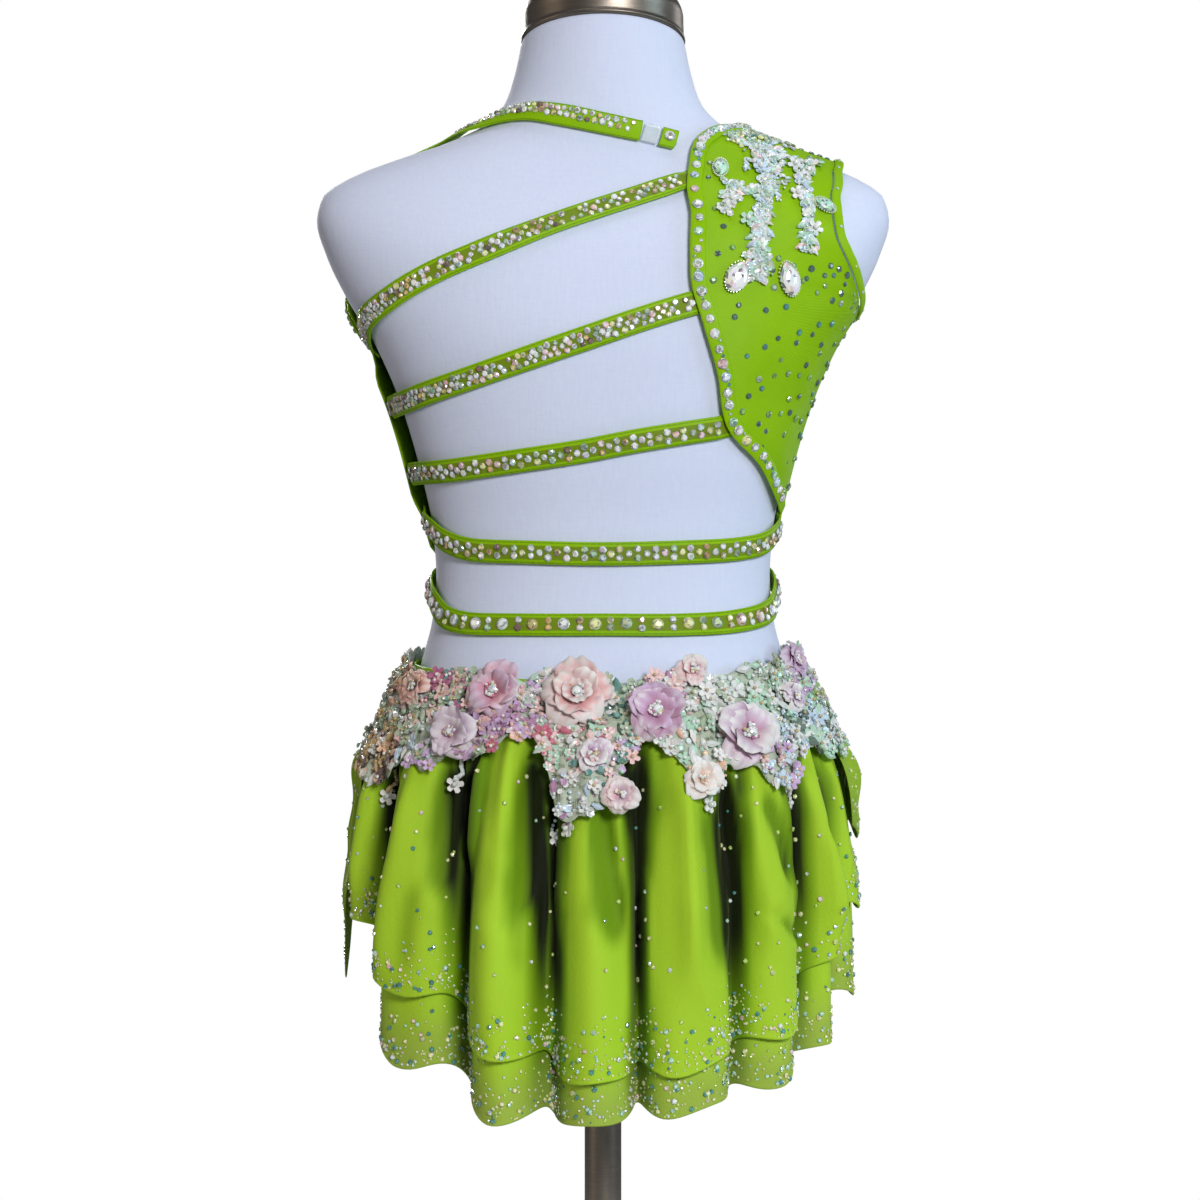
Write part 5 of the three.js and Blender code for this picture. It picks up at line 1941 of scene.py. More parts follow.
@dataclass
class Beadwork:
    """The set stones of the straps, bindings, back panel, shoulder and skirt."""

    bodice: Bodice
    skirt: SkirtShape
    on_shoulder: int = 210
    on_hem: tuple[int, int] = (1250, 950)  # near one tier's hem, behind and in front
    above_hem: int = 170
    on_drape: int = 150

    def _band(
        self, setter: Setter, name: str, t: Array, across: Array, size: Array | float, tints: Array, shape: Shape = GEM
    ) -> None:
        """Sets stones on a band.

        Args:
            setter: Takes the stones.
            name: The band.
            t: Shares of its length.
            across: Distances to its left.
            size: Their size.
            tints: Their tints.
            shape: Their cut.
        """
        band = self.bodice.bands[name]
        hidden = (band.tucks + 4) / band.length() if band.tucks else 0.0
        t, across = (np.ravel(a) for a in np.broadcast_arrays(hidden + (1 - 2 * hidden) * t, across))
        turn, z, lift = band.top(t, across)
        spots = Spots.on(FORM, turn, z, lift).turned(setter.rng.uniform(0, 60, len(t))).tilted(setter.rng, 0.06)
        setter.put(shape, spots, size, tints * 0.92, tall=1.15, glint=0.75)

    def straps(self) -> Setter:
        """The patterns of the straps and the neck band.

        Returns:
            The stones.
        """
        setter = Setter(5)
        rng = setter.rng
        for name in ("strap_1_shoulder_blade", "strap_2_upper_back"):
            length = self.bodice.bands[name].length()
            count = int(length / 4.7)
            for across in (-2.8, 0.0, 2.8):
                middle = across == 0
                t = (np.arange(count) + 0.5 + 0.5 * middle) / count * 0.985 + 0.01
                t = t + rng.normal(0, 0.5, count) / length
                keep = rng.random(count) > (0.16 if middle else 0.05)
                size = rng.uniform(3.2, 4.5, count)
                tints = setter.pick(STRAP_STONES, count, (7, 4, 2, 3, 2, 3, 1))
                self._band(setter, name, t[keep], across + rng.normal(0, 0.35, keep.sum()), size[keep], tints[keep])
        for name, single, pair, pitch in (
            ("strap_3_mid_back", 4.4, 4.6, 4.6),
            ("strap_4_lower_back", 4.4, 4.7, 4.7),
            ("strap_5_waist", 7.4, 4.7, 7.8),
        ):
            length = self.bodice.bands[name].length()
            count = int(length / pitch)
            t = (np.arange(count) + 0.5) / count
            odd = t[1::2] + rng.normal(0, 0.25, len(t[1::2])) / length
            for across in (-2.4, 2.4):
                tints = setter.pick(STRAP_STONES, len(odd), (7, 4, 2, 3, 2, 3, 1))
                beside = across + rng.normal(0, 0.25, len(odd))
                self._band(setter, name, odd, beside, rng.uniform(pair - 0.5, pair + 0.2, len(odd)), tints)
            even = t[::2]
            tints = setter.pick(STRAP_STONES, len(even), (8, 4, 2, 2, 2, 3, 0))
            shape = GREAT_GEM if single > 6 else GEM
            beside = rng.normal(0, 0.3, len(even))
            self._band(setter, name, even, beside, rng.uniform(single - 0.4, single + 0.3, len(even)), tints, shape)
        length = self.bodice.bands["neck_band"].length()
        count = int(length * 0.62 / 4.6)
        for across in (0.2, 4.0):
            t = 0.37 + 0.62 * (np.arange(count) + (0.5 if across > 1 else 0.0)) / count
            tints = setter.pick(STRAP_STONES, count, (7, 4, 1, 3, 2, 4, 1))
            beside = across + rng.normal(0, 0.4, count)
            self._band(setter, "neck_band", t, beside, rng.uniform(3.2, 4.6, count), tints)
        self._band(setter, "neck_tab", np.array([0.5]), 0.5, 6.6, setter.pick((Tone.SILVER,), 1), GREAT_GEM)
        return setter

    def edges(self) -> Setter:
        """One row of stones on the back edge, and a few tiny ones round the neckline and armhole.

        Returns:
            The stones.
        """
        setter = Setter(11)
        rng = setter.rng
        for name, pitch, size, start in (
            ("back_edge_binding", 6.9, 6.0, 0.03),
            ("neckline_binding", 7.5, 4.4, 0.02),
            ("armhole_binding", 17.0, 2.2, 0.0),
        ):
            length = self.bodice.bands[name].length()
            count = int(length * (1 - 2 * start) / pitch)
            t = start + (1 - 2 * start) * (np.arange(count) + 0.5 + rng.normal(0, 0.08, count)) / count
            tints = setter.pick(EDGE_STONES, count, (6, 4, 3, 2, 3, 1))
            sizes = size * rng.uniform(0.82, 1.12, count)
            self._band(setter, name, t, rng.normal(0, 0.3, count), sizes, tints, GREAT_GEM if size > 5 else GEM)
            if size > 5:
                between = t[:-1] + 0.5 * np.diff(t)
                keep = rng.random(len(between)) < 0.55
                tints = setter.pick(tones("teal sage silver"), keep.sum())
                self._band(setter, name, between[keep], rng.uniform(-2.4, 2.4, keep.sum()), 2.3, tints)
        return setter

    def panel(self) -> Setter:
        """Small green stones over the back panel and the front, and the crusted shoulder.

        Returns:
            The stones.
        """
        setter = Setter(17)
        rng = setter.rng
        for panel, rows, cols, keep in ((self.bodice.back, 22, 10, 0.86), (self.bodice.front, 26, 24, 0.32)):
            up, across = np.meshgrid(np.linspace(0.06, 0.95, rows), np.linspace(0.09, 0.84, cols), indexing="ij")
            across = across + (np.arange(rows) % 2)[:, None] * 0.45 * 0.75 / cols
            up, across = (np.ravel(a) + rng.normal(0, s, a.size) for a, s in ((up, 0.009), (across, 0.014)))
            turn, z = panel.at(np.clip(up, 0.03, 0.97), across)
            on = rng.random(len(z)) < keep
            if panel is self.bodice.back:
                on &= ~((z > 652) & (turn > 26) & (turn < 56))
                on &= rng.random(len(z)) < np.where(z < 560, 0.55, 1.0)
            spots = Spots.on(FORM, turn[on], z[on], AIR + STRETCH - 0.15).turned(rng.uniform(0, 60, on.sum()))
            tints = setter.pick(tones("forest teal leaf sage"), on.sum(), (6, 2, 5, 1))
            setter.put(GEM, spots, rng.uniform(3.2, 4.6, on.sum()), tints * 0.85, glint=0.6)
        count = self.on_shoulder
        t = rng.random(count)
        turn = lerp(40.0, 89.0, t) + rng.normal(0, 0.6, count)
        edge = np.interp(turn, (30, 40, 55, 70, 90), (716, 722, 725, 727, 727.5))
        z = edge - np.abs(rng.normal(0, 4.6, count)) - 0.5
        spots = Spots.on(FORM, turn, z, ON_CLOTH).turned(rng.uniform(0, 60, count)).tilted(rng, 0.2)
        tints = setter.pick(tones("sage silver mint straw teal"), count, (5, 5, 3, 2, 1))
        setter.put(GEM, spots, rng.uniform(2.4, 4.8, count), tints, tall=1.3, glint=0.5)
        return setter

    def skirt_stones(self, front: bool) -> Setter:
        """Stones on one side's two tiers, thick near the hems and thin above.

        Args:
            front: Whether it is the front.

        Returns:
            The stones.
        """
        setter = Setter(31 + front)
        rng = setter.rng
        span = (RIGHT_SEAM + 1, LEFT_SEAM - 1) if front else (-78.0, RIGHT_SEAM - 1)
        small = tones("straw lime silver mint teal blush")
        dense = self.on_hem[front]
        for surface, tier, spread_by, sparse in (
            (ON_SKIRT, Tier.UPPER, 15.0, self.above_hem), (ON_LOWER, Tier.LOWER, 17.0, 0),
        ):
            count = dense + sparse
            turn = rng.uniform(*span, count)
            hem = self.skirt.hem(turn, tier)
            rise = np.abs(rng.normal(0, spread_by, count)) + 1.6
            far = np.arange(count) >= dense
            rise = np.where(far, 6 + (352 - hem) * rng.random(count), rise)
            z = hem + rise
            on = (z < 352) if tier is Tier.UPPER else (z < self.skirt.hem(turn, Tier.UPPER) - 1.0)
            on &= ~((turn > 243) | (turn < -76)) | (z < 250)
            turn, z, far = turn[on], z[on], far[on]
            spots = Spots.on(surface, turn, z, -0.05, 1.2).turned(rng.uniform(0, 60, len(turn))).tilted(rng, 0.1)
            draw = rng.random(len(turn))
            size = np.where(draw < 0.8, rng.uniform(1.2, 2.0, len(turn)), rng.uniform(2.4, 3.6, len(turn)))
            size = np.where(far, rng.uniform(2.0, 3.2, len(turn)), size)
            tints = np.where(
                (draw < 0.8)[:, None],
                setter.pick(small, len(turn), (10, 6, 2, 2, 1, 1)),
                setter.pick(tones("teal mint silver blush straw"), len(turn), (4, 3, 1, 1, 4)),
            )
            setter.put(CHIP, spots, size, tints, tall=1.2, glint=0.5)
        drape = DRAPES[1 if front else 0]
        count = self.on_drape
        wide, up = rng.uniform(0.03, 0.97, count), rng.random(count) ** 1.7 * 0.66 + 0.02
        turn, z = lerp(*drape.spans, wide), lerp(Column(*zip(*drape.lows))(wide), drape.high, up)
        spots = Spots.on(drape.outer, turn, z, -0.05, 1.2).tilted(rng, 0.1)
        sizes, tints = rng.uniform(1.2, 2.6, count), setter.pick(small, count, (10, 6, 2, 2, 1, 1))
        setter.put(CHIP, spots, sizes, tints, tall=1.2, glint=0.5)
        return setter

    def make(self, crystal: Material) -> None:
        """Builds every set stone but the four large ones.

        Args:
            crystal: Their finish.
        """
        for name, setter in (
            ("strap_stones", self.straps()), ("edge_stones", self.edges()), ("panel_stones", self.panel()),
            ("skirt_stones_back", self.skirt_stones(False)), ("skirt_stones_front", self.skirt_stones(True)),
        ):
            setter.finish(name, crystal, "crystal")


# ---------------------------------------------------------------- the shoulder appliqué
@dataclass
class ShoulderSpray:
    """Beaded sprays on the back panel, with four large set stones."""

    sprays: tuple[tuple[str, float, tuple[Place, ...]], ...] = (
        ("shoulder_spray_middle", 15, ((51, 716), (39, 706), (33, 690), (30, 668), (32, 634))),
        ("shoulder_spray_left", 8, ((26, 692), (24.5, 684), (22.8, 673))),
        ("shoulder_spray_right", 9, ((52, 705), (41.5, 693), (39.5, 672), (40, 652))),
    )
    # the row of sequins that joins the middle spray to the left one, and the blossoms
    link: tuple[Place, ...] = ((31, 689), (29.5, 687), (28, 685), (26, 682), (24.5, 679.5), (23.5, 678))
    blossoms: tuple[Place, ...] = (
        (27.5, 668), (34, 700), (44, 702), (38, 684), (31, 652), (41, 664), (24.5, 680),
    )
    # turn, height, length, width and lean of each large stone
    stones: tuple[tuple[str, float, float, float, float, float], ...] = (
        ("stone_top_left", 25, 700, 14, 8, 35), ("stone_top_right", 43.4, 678, 13, 8, -50),
        ("stone_drop_left", 27.4, 636, 19, 12, 12), ("stone_drop_right", 38.5, 636, 20, 11, -38),
    )

    def _ground(self, name: str, width: float, path: tuple[Place, ...], lace: Material) -> Ribbon:
        """The narrowing strip of lace that a spray is worked on.

        Args:
            name: The solid it stands for.
            width: Its width at the top.
            path: The line it follows.
            lace: Its finish.

        Returns:
            The line as a band.
        """
        ribbon = Ribbon(path, width, ON_CLOTH, 1.2, 46, crown=0.3)
        t = np.linspace(0, 1, ribbon.steps + 1)
        across, up = section(1.0, ribbon.thick, ribbon.crown)
        wavy = width * (1 - 0.45 * t) * (0.5 + 0.12 * np.sin(2 * np.pi * ribbon.length() / 9 * t))
        turn, z = ribbon.beside(t[:, None], across[None, :] * wavy[:, None])
        points = lifted(FORM, turn, z, ON_CLOTH + 0 * t[:, None] + up[None, :])
        batch = Batch()
        cut = paired(ribbon.length() * t[:, None] / 10, across[None, :] * width / 10)
        sweep(batch, points, cut)
        dress(batch.build(f"{name}_lace"), lace, [name])
        return ribbon

    def make(self, lace: Material, crystal: Material, sequin: Material) -> None:
        """Builds the sprays and their stones.

        Args:
            lace: The lace ground.
            crystal: The stones' finish.
            sequin: The finish of sequins and beads.
        """
        discs, beads = Setter(41), Setter(43)
        for name, width, path in self.sprays:
            ribbon = self._ground(name, width, path, lace)
            count = int(ribbon.length() * width / 5.2)
            for setter, shape, share, sizes, lift in (
                (discs, SEQUIN, 1.0, (3.2, 4.8), 1.3),
                (beads, BEAD, 0.5, (1.6, 2.4), 1.4),
                (discs, LEAF_SHAPE, 0.35, (6.0, 9.0), 1.2),
            ):
                n = int(count * share)
                t = setter.rng.random(n)
                across = setter.rng.normal(0, 0.32, n) * width * (1 - 0.35 * t + 0.3 * np.sin(7.5 * t))
                turn, z = ribbon.beside(t, across)
                spots = Spots.on(FORM, turn, z, ON_CLOTH + lift * setter.rng.uniform(0.5, 1.0, n))
                lean = 50 * np.sign(across) if shape is LEAF_SHAPE else setter.rng.uniform(0, 360, n)
                spots = spots.turned(lean).tilted(setter.rng, 0.22)
                tints = setter.pick(SPRAY_TONES, n, (6, 3, 4, 5, 2, 0.4))
                narrow = 0.5 if shape is LEAF_SHAPE else 1.0
                setter.put(shape, spots, setter.rng.uniform(*sizes, n), tints, narrow=narrow, glint=0.35)
        turn, z = np.repeat(np.array(self.link), 7, axis=0).T
        turn, z = (a + discs.rng.normal(0, s, 42) for a, s in ((turn, 0.9), (z, 2.0)))
        tints = discs.pick(tones("white silver mint blush"), 42)
        discs.put(SEQUIN, Spots.on(FORM, turn, z, ON_CLOTH + 0.6).tilted(discs.rng, 0.2), 4.2, tints, glint=0.2)
        turn, z = zip(*self.blossoms)
        spots = Spots.on(FORM, turn, z, ON_CLOTH + 1.6).tilted(discs.rng, 0.15)
        discs.put(TINY_BLOSSOM, spots, 10.0, discs.pick(tones("silver white ice mint"), 7), glint=0.2)
        beads.put(PEARL, Spots.on(FORM, turn, z, ON_CLOTH + 2.2), 3.2, beads.pick((Tone.WHITE,), 7), glint=0.05)
        discs.finish("shoulder_sequins", sequin, "beaded_lace")
        beads.finish("shoulder_beads", sequin, "beaded_lace", flat=False)
        for name, turn, z, long, wide, lean in self.stones:
            stone = Setter(47)
            spot = Spots.on(FORM, turn, z, ON_CLOTH + 1.6, 2.0).turned(-lean)
            shape = MARQUISE if "top" in name else DROP
            tint = np.array([(Tone.MINT if "top" in name else Tone.WHITE).value])
            stone.put(shape, spot, long, tint, tall=0.5, narrow=wide / long * 1.15, glint=0.9)
            angle = np.linspace(0, 2 * np.pi, 26, endpoint=False)[:, None]
            side = np.cross(spot.up, spot.out)
            rim = side * np.cos(angle) * (wide / 2 + 0.5) + spot.up * np.sin(angle) * (long / 2 + 0.4)
            claws = spot.copied(spot.at + rim - spot.out * 0.5)
            stone.put(BEAD, claws, 1.3, stone.pick(tones("silver straw"), 26))
            stone.finish(f"{name}_set", crystal, "crystal", [name])


# ---------------------------------------------------------------- the hip lace
@dataclass(frozen=True)
class Patch:
    """Part of the lace, with the tones that its beads are drawn from."""

    turn: float
    z: float
    tones: tuple[Tone, ...]


@dataclass
class HipLace:
    """The band of beaded lace over the gathers, with its sequins, beads, leaves and small blossoms."""

    edges: tuple[tuple[float, float, float], ...] = (
        (-79, 412, 352), (-70, 409, 344), (-60, 404, 346), (-52, 403, 356), (-45, 406, 351), (-38, 407, 361),
        (-30, 402, 358), (-24, 400, 369), (-18, 405, 372), (-13, 407, 350), (-9, 406, 324), (-4, 401, 326),
        (1, 402, 340), (6, 399, 358), (11, 402, 370), (16, 405, 364), (21, 407, 344), (26, 407, 340),
        (31, 404, 360), (36, 404, 356), (41, 409, 344), (46, 412, 342), (53, 411, 358), (60, 412, 364),
        (68, 416, 358), (76, 418, 360), (86, 418, 366), (110, 419, 376), (140, 417, 384), (165, 418, 372),
        (183, 418, 366), (200, 418, 376), (225, 417, 384), (255, 418, 372), (281, 412, 352),
    )
    patches: tuple[Patch, ...] = (
        Patch(-72, 400, tones("gold peach brown sage")), Patch(-66, 352, tones("gold peach brown silver")),
        Patch(-56, 382, tones("sage blush silver gold")), Patch(-48, 402, tones("sage blush magenta teal")),
        Patch(-42, 360, tones("lilac sage white ice")), Patch(-28, 372, tones("lilac blush mauve peach")),
        Patch(-18, 400, tones("mint white blush lilac")), Patch(-12, 365, tones("blush white mint rose")),
        Patch(-8, 335, tones("white ice silver mauve")), Patch(4, 395, tones("sage teal white forest")),
        Patch(4, 350, tones("lilac blush mint teal")), Patch(18, 402, tones("white blush mauve sage")),
        Patch(22, 356, tones("white mint peach silver")), Patch(34, 392, tones("silver mint white sage")),
        Patch(45, 352, tones("white ice lilac blush")), Patch(50, 398, tones("silver mint white sage")),
        Patch(60, 376, tones("ice silver mint forest")), Patch(74, 404, tones("lilac silver mint leaf")),
        Patch(120, 395, tones("silver white lilac sage")), Patch(180, 392, tones("silver white blush mint")),
        Patch(235, 395, tones("silver white mint sage")),
    )
    trails: tuple[tuple[tuple[Place, ...], Tone], ...] = (
        (((0, 350), (-4, 338), (-8, 328), (-12, 318)), Tone.ICE), (((-2, 346), (-3, 334), (-6, 322)), Tone.MAUVE),
        (((20, 352), (22, 343), (23, 336)), Tone.MINT), (((-62, 352), (-64, 344), (-66, 338)), Tone.GOLD),
        (((44, 350), (47, 342), (48, 336)), Tone.WHITE), (((-36, 362), (-37, 354), (-39, 348)), Tone.SILVER),
    )

    def __post_init__(self) -> None:
        """Reads the edge table into columns."""
        turn, high, low = zip(*self.edges)
        self.high, self.low = Column(turn, high), Column(turn, low)

    def lowest(self, turn: Array) -> Array:
        """The scalloped lower edge."""
        return self.low(turn) - 3.4 * np.abs(np.sin(np.radians(turn * 38))) ** 0.7 + 1.5

    def highest(self, turn: Array) -> Array:
        """The scalloped upper edge."""
        return self.high(turn) + 2.4 * np.abs(np.sin(np.radians(turn * 31 + 20))) ** 0.7 - 1.5

    def ground(self, name: str, node: str, span: tuple[float, float], lace: Material) -> None:
        """One half of the lace itself.

        Args:
            name: The piece's name.
            node: The solid it stands for.
            span: Its first and last turn.
            lace: Its finish.
        """
        turn = np.linspace(span[0] + SIDE_GAP, span[1] - SIDE_GAP, int((span[1] - span[0]) / 0.8))[None, :]
        up = np.linspace(0, 1, 22)[:, None]
        low, high = self.lowest(turn), self.highest(turn)
        z = lerp(low, high, up)
        turn = np.broadcast_to(turn, z.shape)
        half = 0.4 * rolled(np.minimum(z - low, high - z), 0.9)
        outer, inner = (lifted(on_lace, turn, z, 0.7 + side * half, 0.8) for side in (1, -1))
        batch = Batch()
        wall(batch, outer, inner, np.stack([turn * 0.23, z / 10], -1))
        piece = dress(batch.build(name), lace, [node])
        cut = ((span[1] - span[0]) * 2.35 * MM, 0.088)
        area = float(np.clip(area_of(piece), 0.31 * cut[0] * cut[1], cut[0] * cut[1]))

    def scatter(self, setter: Setter, count: int, spread: float = 1.0) -> tuple[Array, Array, Array]:
        """Places over the lace, each with a tint from the nearest patch.

        Args:
            setter: The source of chance.
            count: How many places.
            spread: The share of the lace's height that they cover.

        Returns:
            Turns, heights and tints.
        """
        rng = setter.rng
        turn = np.where(rng.random(count) < 0.62, rng.uniform(-78, 86, count), rng.uniform(86, 280, count))
        z = lerp(self.lowest(turn), self.highest(turn), 0.5 + spread * (rng.random(count) - 0.5))
        gap = np.stack([((turn - p.turn) * 1.1) ** 2 + (z - p.z) ** 2 for p in self.patches], 1)
        gap = gap + rng.uniform(0, 260, gap.shape)
        near = gap.argmin(1)
        tone = rng.choice(4, count, p=(0.34, 0.26, 0.24, 0.16))
        table = np.array([[t.value for t in patch.tones] for patch in self.patches])
        return turn, z, table[near, tone]

    def make(
        self, lace: Material, sequin: Material, crystal: Material, petals: Material
    ) -> None:
        """Builds the lace and everything sewn on it but the large flowers.

        Args:
            lace: The ground's finish.
            sequin: The finish of sequins and beads.
            crystal: The stones' finish.
            petals: The finish of leaves and small blossoms.
        """
        self.ground("hip_lace_back_net", "hip_lace_back", (-79.0, RIGHT_SEAM), lace)
        self.ground("hip_lace_front_net", "hip_lace_front", (RIGHT_SEAM, LEFT_SEAM), lace)
        discs, beads, stones, small = Setter(53), Setter(59), Setter(61), Setter(67)
        for setter, shape, count, sizes, lifts, lean, narrow, glint in (
            (discs, SEQUIN, 1500, (3.2, 5.4), (1.2, 2.4), 0.16, 1.0, 0.16),
            (beads, BEAD, 1500, (1.6, 2.8), (1.3, 3.2), 0.2, 1.0, 0.1),
            (stones, GEM, 300, (2.6, 5.0), (2.0, 3.8), 0.15, 1.0, 0.4),
            (small, LEAF_SHAPE, 620, (7.0, 12.0), (1.4, 2.8), 0.16, 0.5, 0.1),
            (small, TINY_BLOSSOM, 420, (6.5, 12.0), (2.0, 3.8), 0.2, 1.0, 0.1),
        ):
            turn, z, tints = self.scatter(setter, count)
            spots = Spots.on(on_lace, turn, z, setter.rng.uniform(*lifts, count), 1.2)
            spots = spots.turned(setter.rng.uniform(0, 360, count)).tilted(setter.rng, lean)
            setter.put(shape, spots, setter.rng.uniform(*sizes, count), tints, narrow=narrow, glint=glint)
            if shape is TINY_BLOSSOM:
                beads.put(BEAD, spots.raised(0.8), 2.4, beads.pick(tones("white gold"), count))
        for path, tone in self.trails:
            line = Line(path)
            turn, z = line.by_length(np.linspace(0, 1, 15))
            spots = Spots.on(ON_SKIRT, turn, z, 1.6, 1.2)
            beads.put(PEARL, spots, beads.rng.uniform(2.0, 3.4, 15), np.tile(tone.value, (15, 1)))
            tip = Spots.on(ON_SKIRT, turn[-1:], z[-1:] - 3, 1.6, 1.2)
            small.put(TINY_BLOSSOM, tip, 11.0, small.pick((Tone.WHITE,), 1), glint=0.1)
            beads.put(PEARL, tip.raised(1.0), 3.4, beads.pick((Tone.SILVER,), 1))
        discs.finish("lace_sequins", sequin, "beaded_lace")
        beads.finish("lace_beads", sequin, "beaded_lace", flat=False)
        stones.finish("lace_stones", crystal, "crystal")
        small.finish("lace_leaves_and_blossoms", petals, "petal_cloth")


# ---------------------------------------------------------------- the cloth flowers
@dataclass(frozen=True)
class Flower:
    """A flower of layered organza petals: its place, size, and the tones of its hearts, petals and tips."""

    number: int
    turn: float
    z: float
    size: float
    heart: Tone
    petal: Tone
    tip: Tone
    layers: int = 3
    spin: float = 0.0

    def spot(self) -> Spots:
        """Where the flower is sewn on, square to the ring that the skirt follows."""
        at, step = np.array([self.turn]), 1.0
        lift = SKIRT.opened(np.array([self.z])) * 12 + TRIM + SEAM + 1.4
        return Spots.on(SKIRT.ring, at, np.array([self.z]), lift, step)

    def _petal(self, batch: Batch, rng: np.random.Generator, angle: float, long: float, rise: float) -> None:
        """Adds one cupped, ruffled petal.

        Args:
            batch: The flower's mesh.
            rng: The source of chance.
            angle: The way it points round the flower, in degrees.
            long: Its length.
            rise: How steeply it stands, in degrees.
        """
        u, v = np.meshgrid(edged(6, long, (0.4,)), np.linspace(-1, 1, 11), indexing="ij")
        wide = long * 0.54 * np.sqrt(1 - ((u - 0.6) / 0.63) ** 2) * rng.uniform(0.9, 1.1)
        notch = 1 - 0.07 * np.exp(-((v / 0.2) ** 2)) * u**6 - 0.24 * np.abs(v) ** 2.4 * u
        angle, rise = np.radians(angle), np.radians(rise + rng.uniform(-6, 6))
        bend = rise + np.radians(rng.uniform(16, 34)) * u - np.radians(rng.uniform(20, 44)) * u**3
        out = long * u * notch * np.cos(bend)
        up = long * u * np.sin(bend) + wide * 0.2 * v**2
        up = up + 0.055 * long * u**2 * np.sin(2.8 * np.pi * v + rng.uniform(0, 6.28)) + 0.5
        x = (out * math.cos(angle) - wide * v * math.sin(angle))[..., None]
        y = (out * math.sin(angle) + wide * v * math.cos(angle))[..., None]
        half = 0.16 + 0.1 * (1 - u)
        spot = self.spot()
        side = np.cross(spot.up, spot.out)[0]
        flat = spot.at[0] + x * side + y * spot.up[0]
        outer, inner = (flat + (up + s * half)[..., None] * spot.out[0] for s in (1, -1))
        heart, petal, tip = (np.array(tone.value) for tone in (self.heart, self.petal, self.tip))
        petal = lerp(petal, tip, rng.random() ** 1.3)
        tip = lerp(tip, np.array(Tone.WHITE.value), rng.uniform(0.1, 0.8))
        heart = lerp(heart, petal, rng.uniform(0.0, 0.3))
        share = u[..., None]
        streak = 0.16 * np.sin(9 * v + rng.uniform(0, 6.28))[..., None] * share
        shade = lerp(heart, petal, smooth(share / 0.95 + streak))
        shade = lerp(shade, tip, smooth((share - 0.64 + streak) / 0.36) * 0.85)
        shade = np.clip(shade * rng.uniform(0.9, 1.15), 0, 1).reshape(-1, 3)
        wall(batch, outer, inner, np.stack([v * wide, u * long], -1) / 10)
        batch.tints.append(np.concatenate([shade, shade]))

    def make(self, petals: Material, centres: Setter, gems: Setter) -> None:
        """Builds the flower's petals and adds its centre to two shared pieces.

        Args:
            petals: The petals' finish.
            centres: Takes its beads and pearls.
            gems: Takes its stone.
        """
        rng = np.random.default_rng(100 + self.number)
        batch = Batch()
        half = self.size / 2
        layers = ((1.0, 6.0, 5), (0.78, 22.0, 4), (0.52, 44.0, 4), (0.34, 62.0, 3))[: self.layers]
        for k, (share, rise, count) in enumerate(layers):
            for i in range(count):
                angle = self.spin + 40 * k + 360 / count * i + rng.uniform(-10, 10)
                self._petal(batch, rng, angle, half * share * rng.uniform(0.86, 1.06), rise)
        dress(batch.build(f"flower_{self.number}_petals"), petals, [f"flower_{self.number}"])
        spot = self.spot()
        side = np.cross(spot.up, spot.out)
        count = 12 + int(self.size / 3)
        angle, radius = rng.uniform(0, 2 * np.pi, (count, 1)), half * 0.24 * np.sqrt(rng.random((count, 1)))
        at = spot.at + side * np.cos(angle) * radius + spot.up * np.sin(angle) * radius
        tints = centres.pick((Tone.WHITE, Tone.GOLD, Tone.SILVER, self.heart), count, (3, 2, 3, 2))
        centres.put(BEAD, spot.copied(at + spot.out * (1.6 + half * 0.14)), rng.uniform(1.6, 2.8, count), tints)
        if self.size > 30:
            gem = spot.raised(2.8 + half * 0.14)
            gems.put(GREAT_GEM, gem, self.size * 0.14, gems.pick((Tone.SILVER,), 1), glint=0.5)


FLOWERS = tuple(
    Flower(number, turn, z, size, *tones(names), layers, spin)
    for number, (turn, z, size, names, layers, spin) in enumerate(
        (
            (-58, 397, 26, "brown coral peach", 2, 10), (-38, 371, 34, "mauve white lilac", 2, 24),
            (-29, 395, 40, "rose blush lilac", 2, 4), (-6.8, 394, 46, "rose coral white", 3, 18),
            (-2.2, 359, 24, "mauve lilac white", 2, 30), (13.5, 384, 42, "magenta mauve lilac", 2, 12),
            (25, 408, 22, "rose blush white", 2, 40), (36.5, 371, 44, "magenta lilac white", 2, 6),
            (22.5, 345, 26, "peach white white", 2, 22), (3.8, 337, 24, "mauve blush white", 2, 50),
            (67, 413, 26, "magenta lilac lilac", 3, 15), (57.5, 391, 22, "mauve lilac white", 2, 33),
            (124, 397, 34, "rose lilac blush", 3, 8), (171, 399, 42, "rose coral blush", 4, 20),
            (194, 396, 30, "mauve lilac white", 3, 36), (236, 397, 34, "coral blush white", 3, 14),
        ),
        1,
    )
)


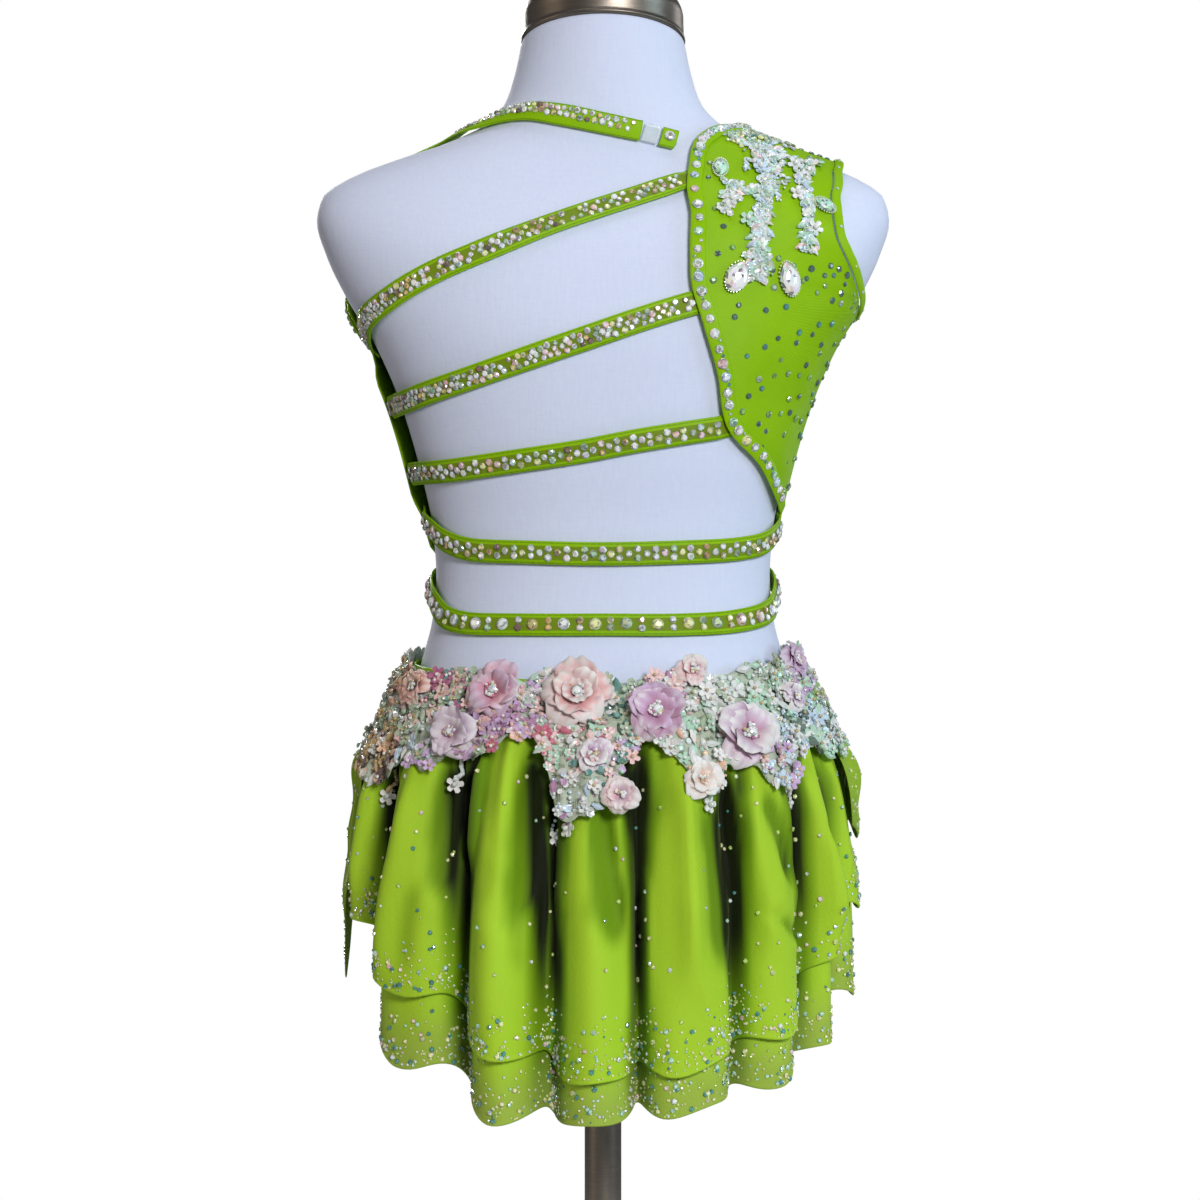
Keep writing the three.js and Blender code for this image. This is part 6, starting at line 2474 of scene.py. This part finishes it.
# ---------------------------------------------------------------- the setting
@dataclass
class Studio:
    """A pale floor, a white backdrop that lights nothing, soft lights and the camera."""

    floor_radius: float = 1.7
    fades: Place = (0.3, 0.54)  # where the floor starts and ends to fade
    backdrop_radius: float = 9.0
    room_light: float = 0.13
    camera_at: Colour = (-0.0018, -2.2, 0.45)
    lens: float = 110.0
    # place, size, power and colour of each lamp
    lamps: tuple[tuple[str, Colour, float, float, Colour], ...] = (
        ("key_back", (0.75, -2.2, 1.15), 0.55, 36.0, (1.0, 1.0, 1.0)),
        ("cool_right", (2.3, -0.9, 0.9), 1.0, 13.0, (0.62, 0.86, 1.0)),
        ("warm_left", (-2.2, -1.0, 0.6), 0.9, 6.0, (1.0, 0.80, 0.60)),
        ("key_front", (-0.9, 2.3, 1.2), 0.6, 32.0, (1.0, 1.0, 0.98)),
        ("side_front", (1.9, 1.5, 0.9), 1.0, 8.0, (0.9, 0.95, 1.0)),
        ("overhead", (0.0, 0.0, 2.5), 1.2, 9.0, (1.0, 1.0, 1.0)),
    )

    def floor(self) -> None:
        """A plain pale floor that fades out round its rim."""
        batch = Batch()
        radius = np.array((0.02, 0.3, 0.6, 1.0, 1.4, self.floor_radius))[:, None] / MM
        angle = np.linspace(0, 2 * np.pi, 96, endpoint=False)
        points = paired(radius * np.cos(angle), radius * np.sin(angle), 0 * radius - 0.4)
        batch.add(points, [grid_faces(len(radius), 96, 0, True)[:, ::-1], np.arange(96)[None]])
        piece = batch.build("floor")
        mix = Recipe("pale_floor", Roughness=0.9, Specular_IOR_Level=0.2, Base_Color=paint(244, 244, 246))
        place = mix.node("ShaderNodeTexCoord").outputs["Object"]
        far = mix.wire(mix.node("ShaderNodeVectorMath", {"operation": "LENGTH"}, {0: place}), "Value")
        near_end, far_end = self.fades
        fade = mix.node("ShaderNodeMapRange", {"interpolation_type": "SMOOTHSTEP"}, {0: far, 1: near_end, 2: far_end})
        ends = mix.shader, mix.node("ShaderNodeBsdfTransparent")
        shares = {0: fade.outputs[0], 1: ends[0].outputs[0], 2: ends[1].outputs[0]}
        mix.show(mix.node("ShaderNodeMixShader", inputs=shares))
        piece.data.materials.append(mix.material)

    def backdrop(self) -> None:
        """A white sphere far round everything, seen by the camera alone."""
        batch = Batch()
        up = np.linspace(-89, 89, 40)[:, None]
        turn = np.linspace(0, 360, 80, endpoint=False)[None, :]
        a, e = np.radians(turn), np.radians(up)
        flat = np.cos(e) * self.backdrop_radius / MM
        points = np.stack([flat * np.cos(a), flat * np.sin(a), np.sin(e) * self.backdrop_radius / MM + 0 * a], -1)
        ends = [np.arange(80)[None], (np.arange(80) + 39 * 80)[None, ::-1]]
        batch.add(points, [grid_faces(40, 80, 0, True)[:, ::-1], *ends])
        piece = batch.build("backdrop")
        mix = Recipe("white_backdrop")
        glow = mix.node("ShaderNodeEmission", inputs={"Color": (1.0, 1.0, 1.0), "Strength": 1.0})
        mix.show(glow)
        piece.data.materials.append(mix.material)
        for ray in ("diffuse", "glossy", "transmission", "volume_scatter", "shadow"):
            setattr(piece, f"visible_{ray}", False)

    def lamp(self, name: str, at: Colour, size: float, power: float, colour: Colour) -> None:
        """A square soft light that faces the costume.

        Args:
            name: The lamp's name.
            at: Where it stands, in metres.
            size: The length of its sides.
            power: Its power in watts.
            colour: Its colour.
        """
        data = bpy.data.lights.new(name, "AREA")
        data.shape, data.size, data.energy, data.color = "SQUARE", size, power, colour
        lamp = bpy.data.objects.new(name, data)
        lamp.location = at
        lamp.rotation_euler = (Vector((0, 0, 0.45)) - Vector(at)).to_track_quat("-Z", "Y").to_euler()
        lamp.visible_camera = False
        bpy.context.scene.collection.objects.link(lamp)

    def make(self) -> None:
        """Sets the floor, backdrop, lights, camera and the world's own soft light."""
        self.floor()
        self.backdrop()
        world = bpy.data.worlds.new("soft_room")
        world.use_nodes = True
        room = world.node_tree.nodes["Background"]
        room.inputs["Color"].default_value = (0.93, 0.95, 1.0, 1.0)
        room.inputs["Strength"].default_value = self.room_light
        bpy.context.scene.world = world
        for lamp in self.lamps:
            self.lamp(*lamp)
        data = bpy.data.cameras.new("camera")
        data.lens, data.sensor_width = self.lens, 36.0
        camera = bpy.data.objects.new("camera", data)
        camera.location = self.camera_at
        camera.rotation_euler = (math.pi / 2, 0.0, 0.0)
        bpy.context.scene.collection.objects.link(camera)
        bpy.context.scene.camera = camera
        bpy.context.scene.view_settings.view_transform = "Standard"


def main() -> None:
    """Builds the setting, the form and the costume in order."""
    logging.basicConfig(level=logging.INFO, format="%(message)s")
    Studio().make()
    metal, cover = Steel().make(), FormCover().make()
    jersey, bands = Jersey().make(), Jersey("stretch_bands", rib=0.8, stitches_at=5.9).make()
    # the straps' jersey, with a painted stone shadow down its middle
    beaded = Jersey("beaded_bands", rib=0.8, stitches_at=5.9, beaded=4.2).make()
    chiffon, plastic = Chiffon().make(), ClearPlastic().make()
    form = DressForm()
    form.stand(metal)
    form.body(cover)
    form.cap(metal)
    bodice = Bodice()
    bodice.make(jersey, bands, beaded, plastic)
    Skirt().make(jersey, chiffon)
    lace, petals, crystal, sequin = LaceNet().make(), Petal().make(), Crystal().make(), Sequin().make()
    Beadwork(bodice, SKIRT).make(crystal)
    ShoulderSpray().make(lace, crystal, sequin)
    HipLace().make(lace, sequin, crystal, petals)
    centres, gems = Setter(71), Setter(73)
    for flower in FLOWERS:
        flower.make(petals, centres, gems)
    centres.finish("flower_beads", sequin, "crystal", flat=False)
    gems.finish("flower_stones", crystal, "crystal")


if __name__ == "__main__":
    main()
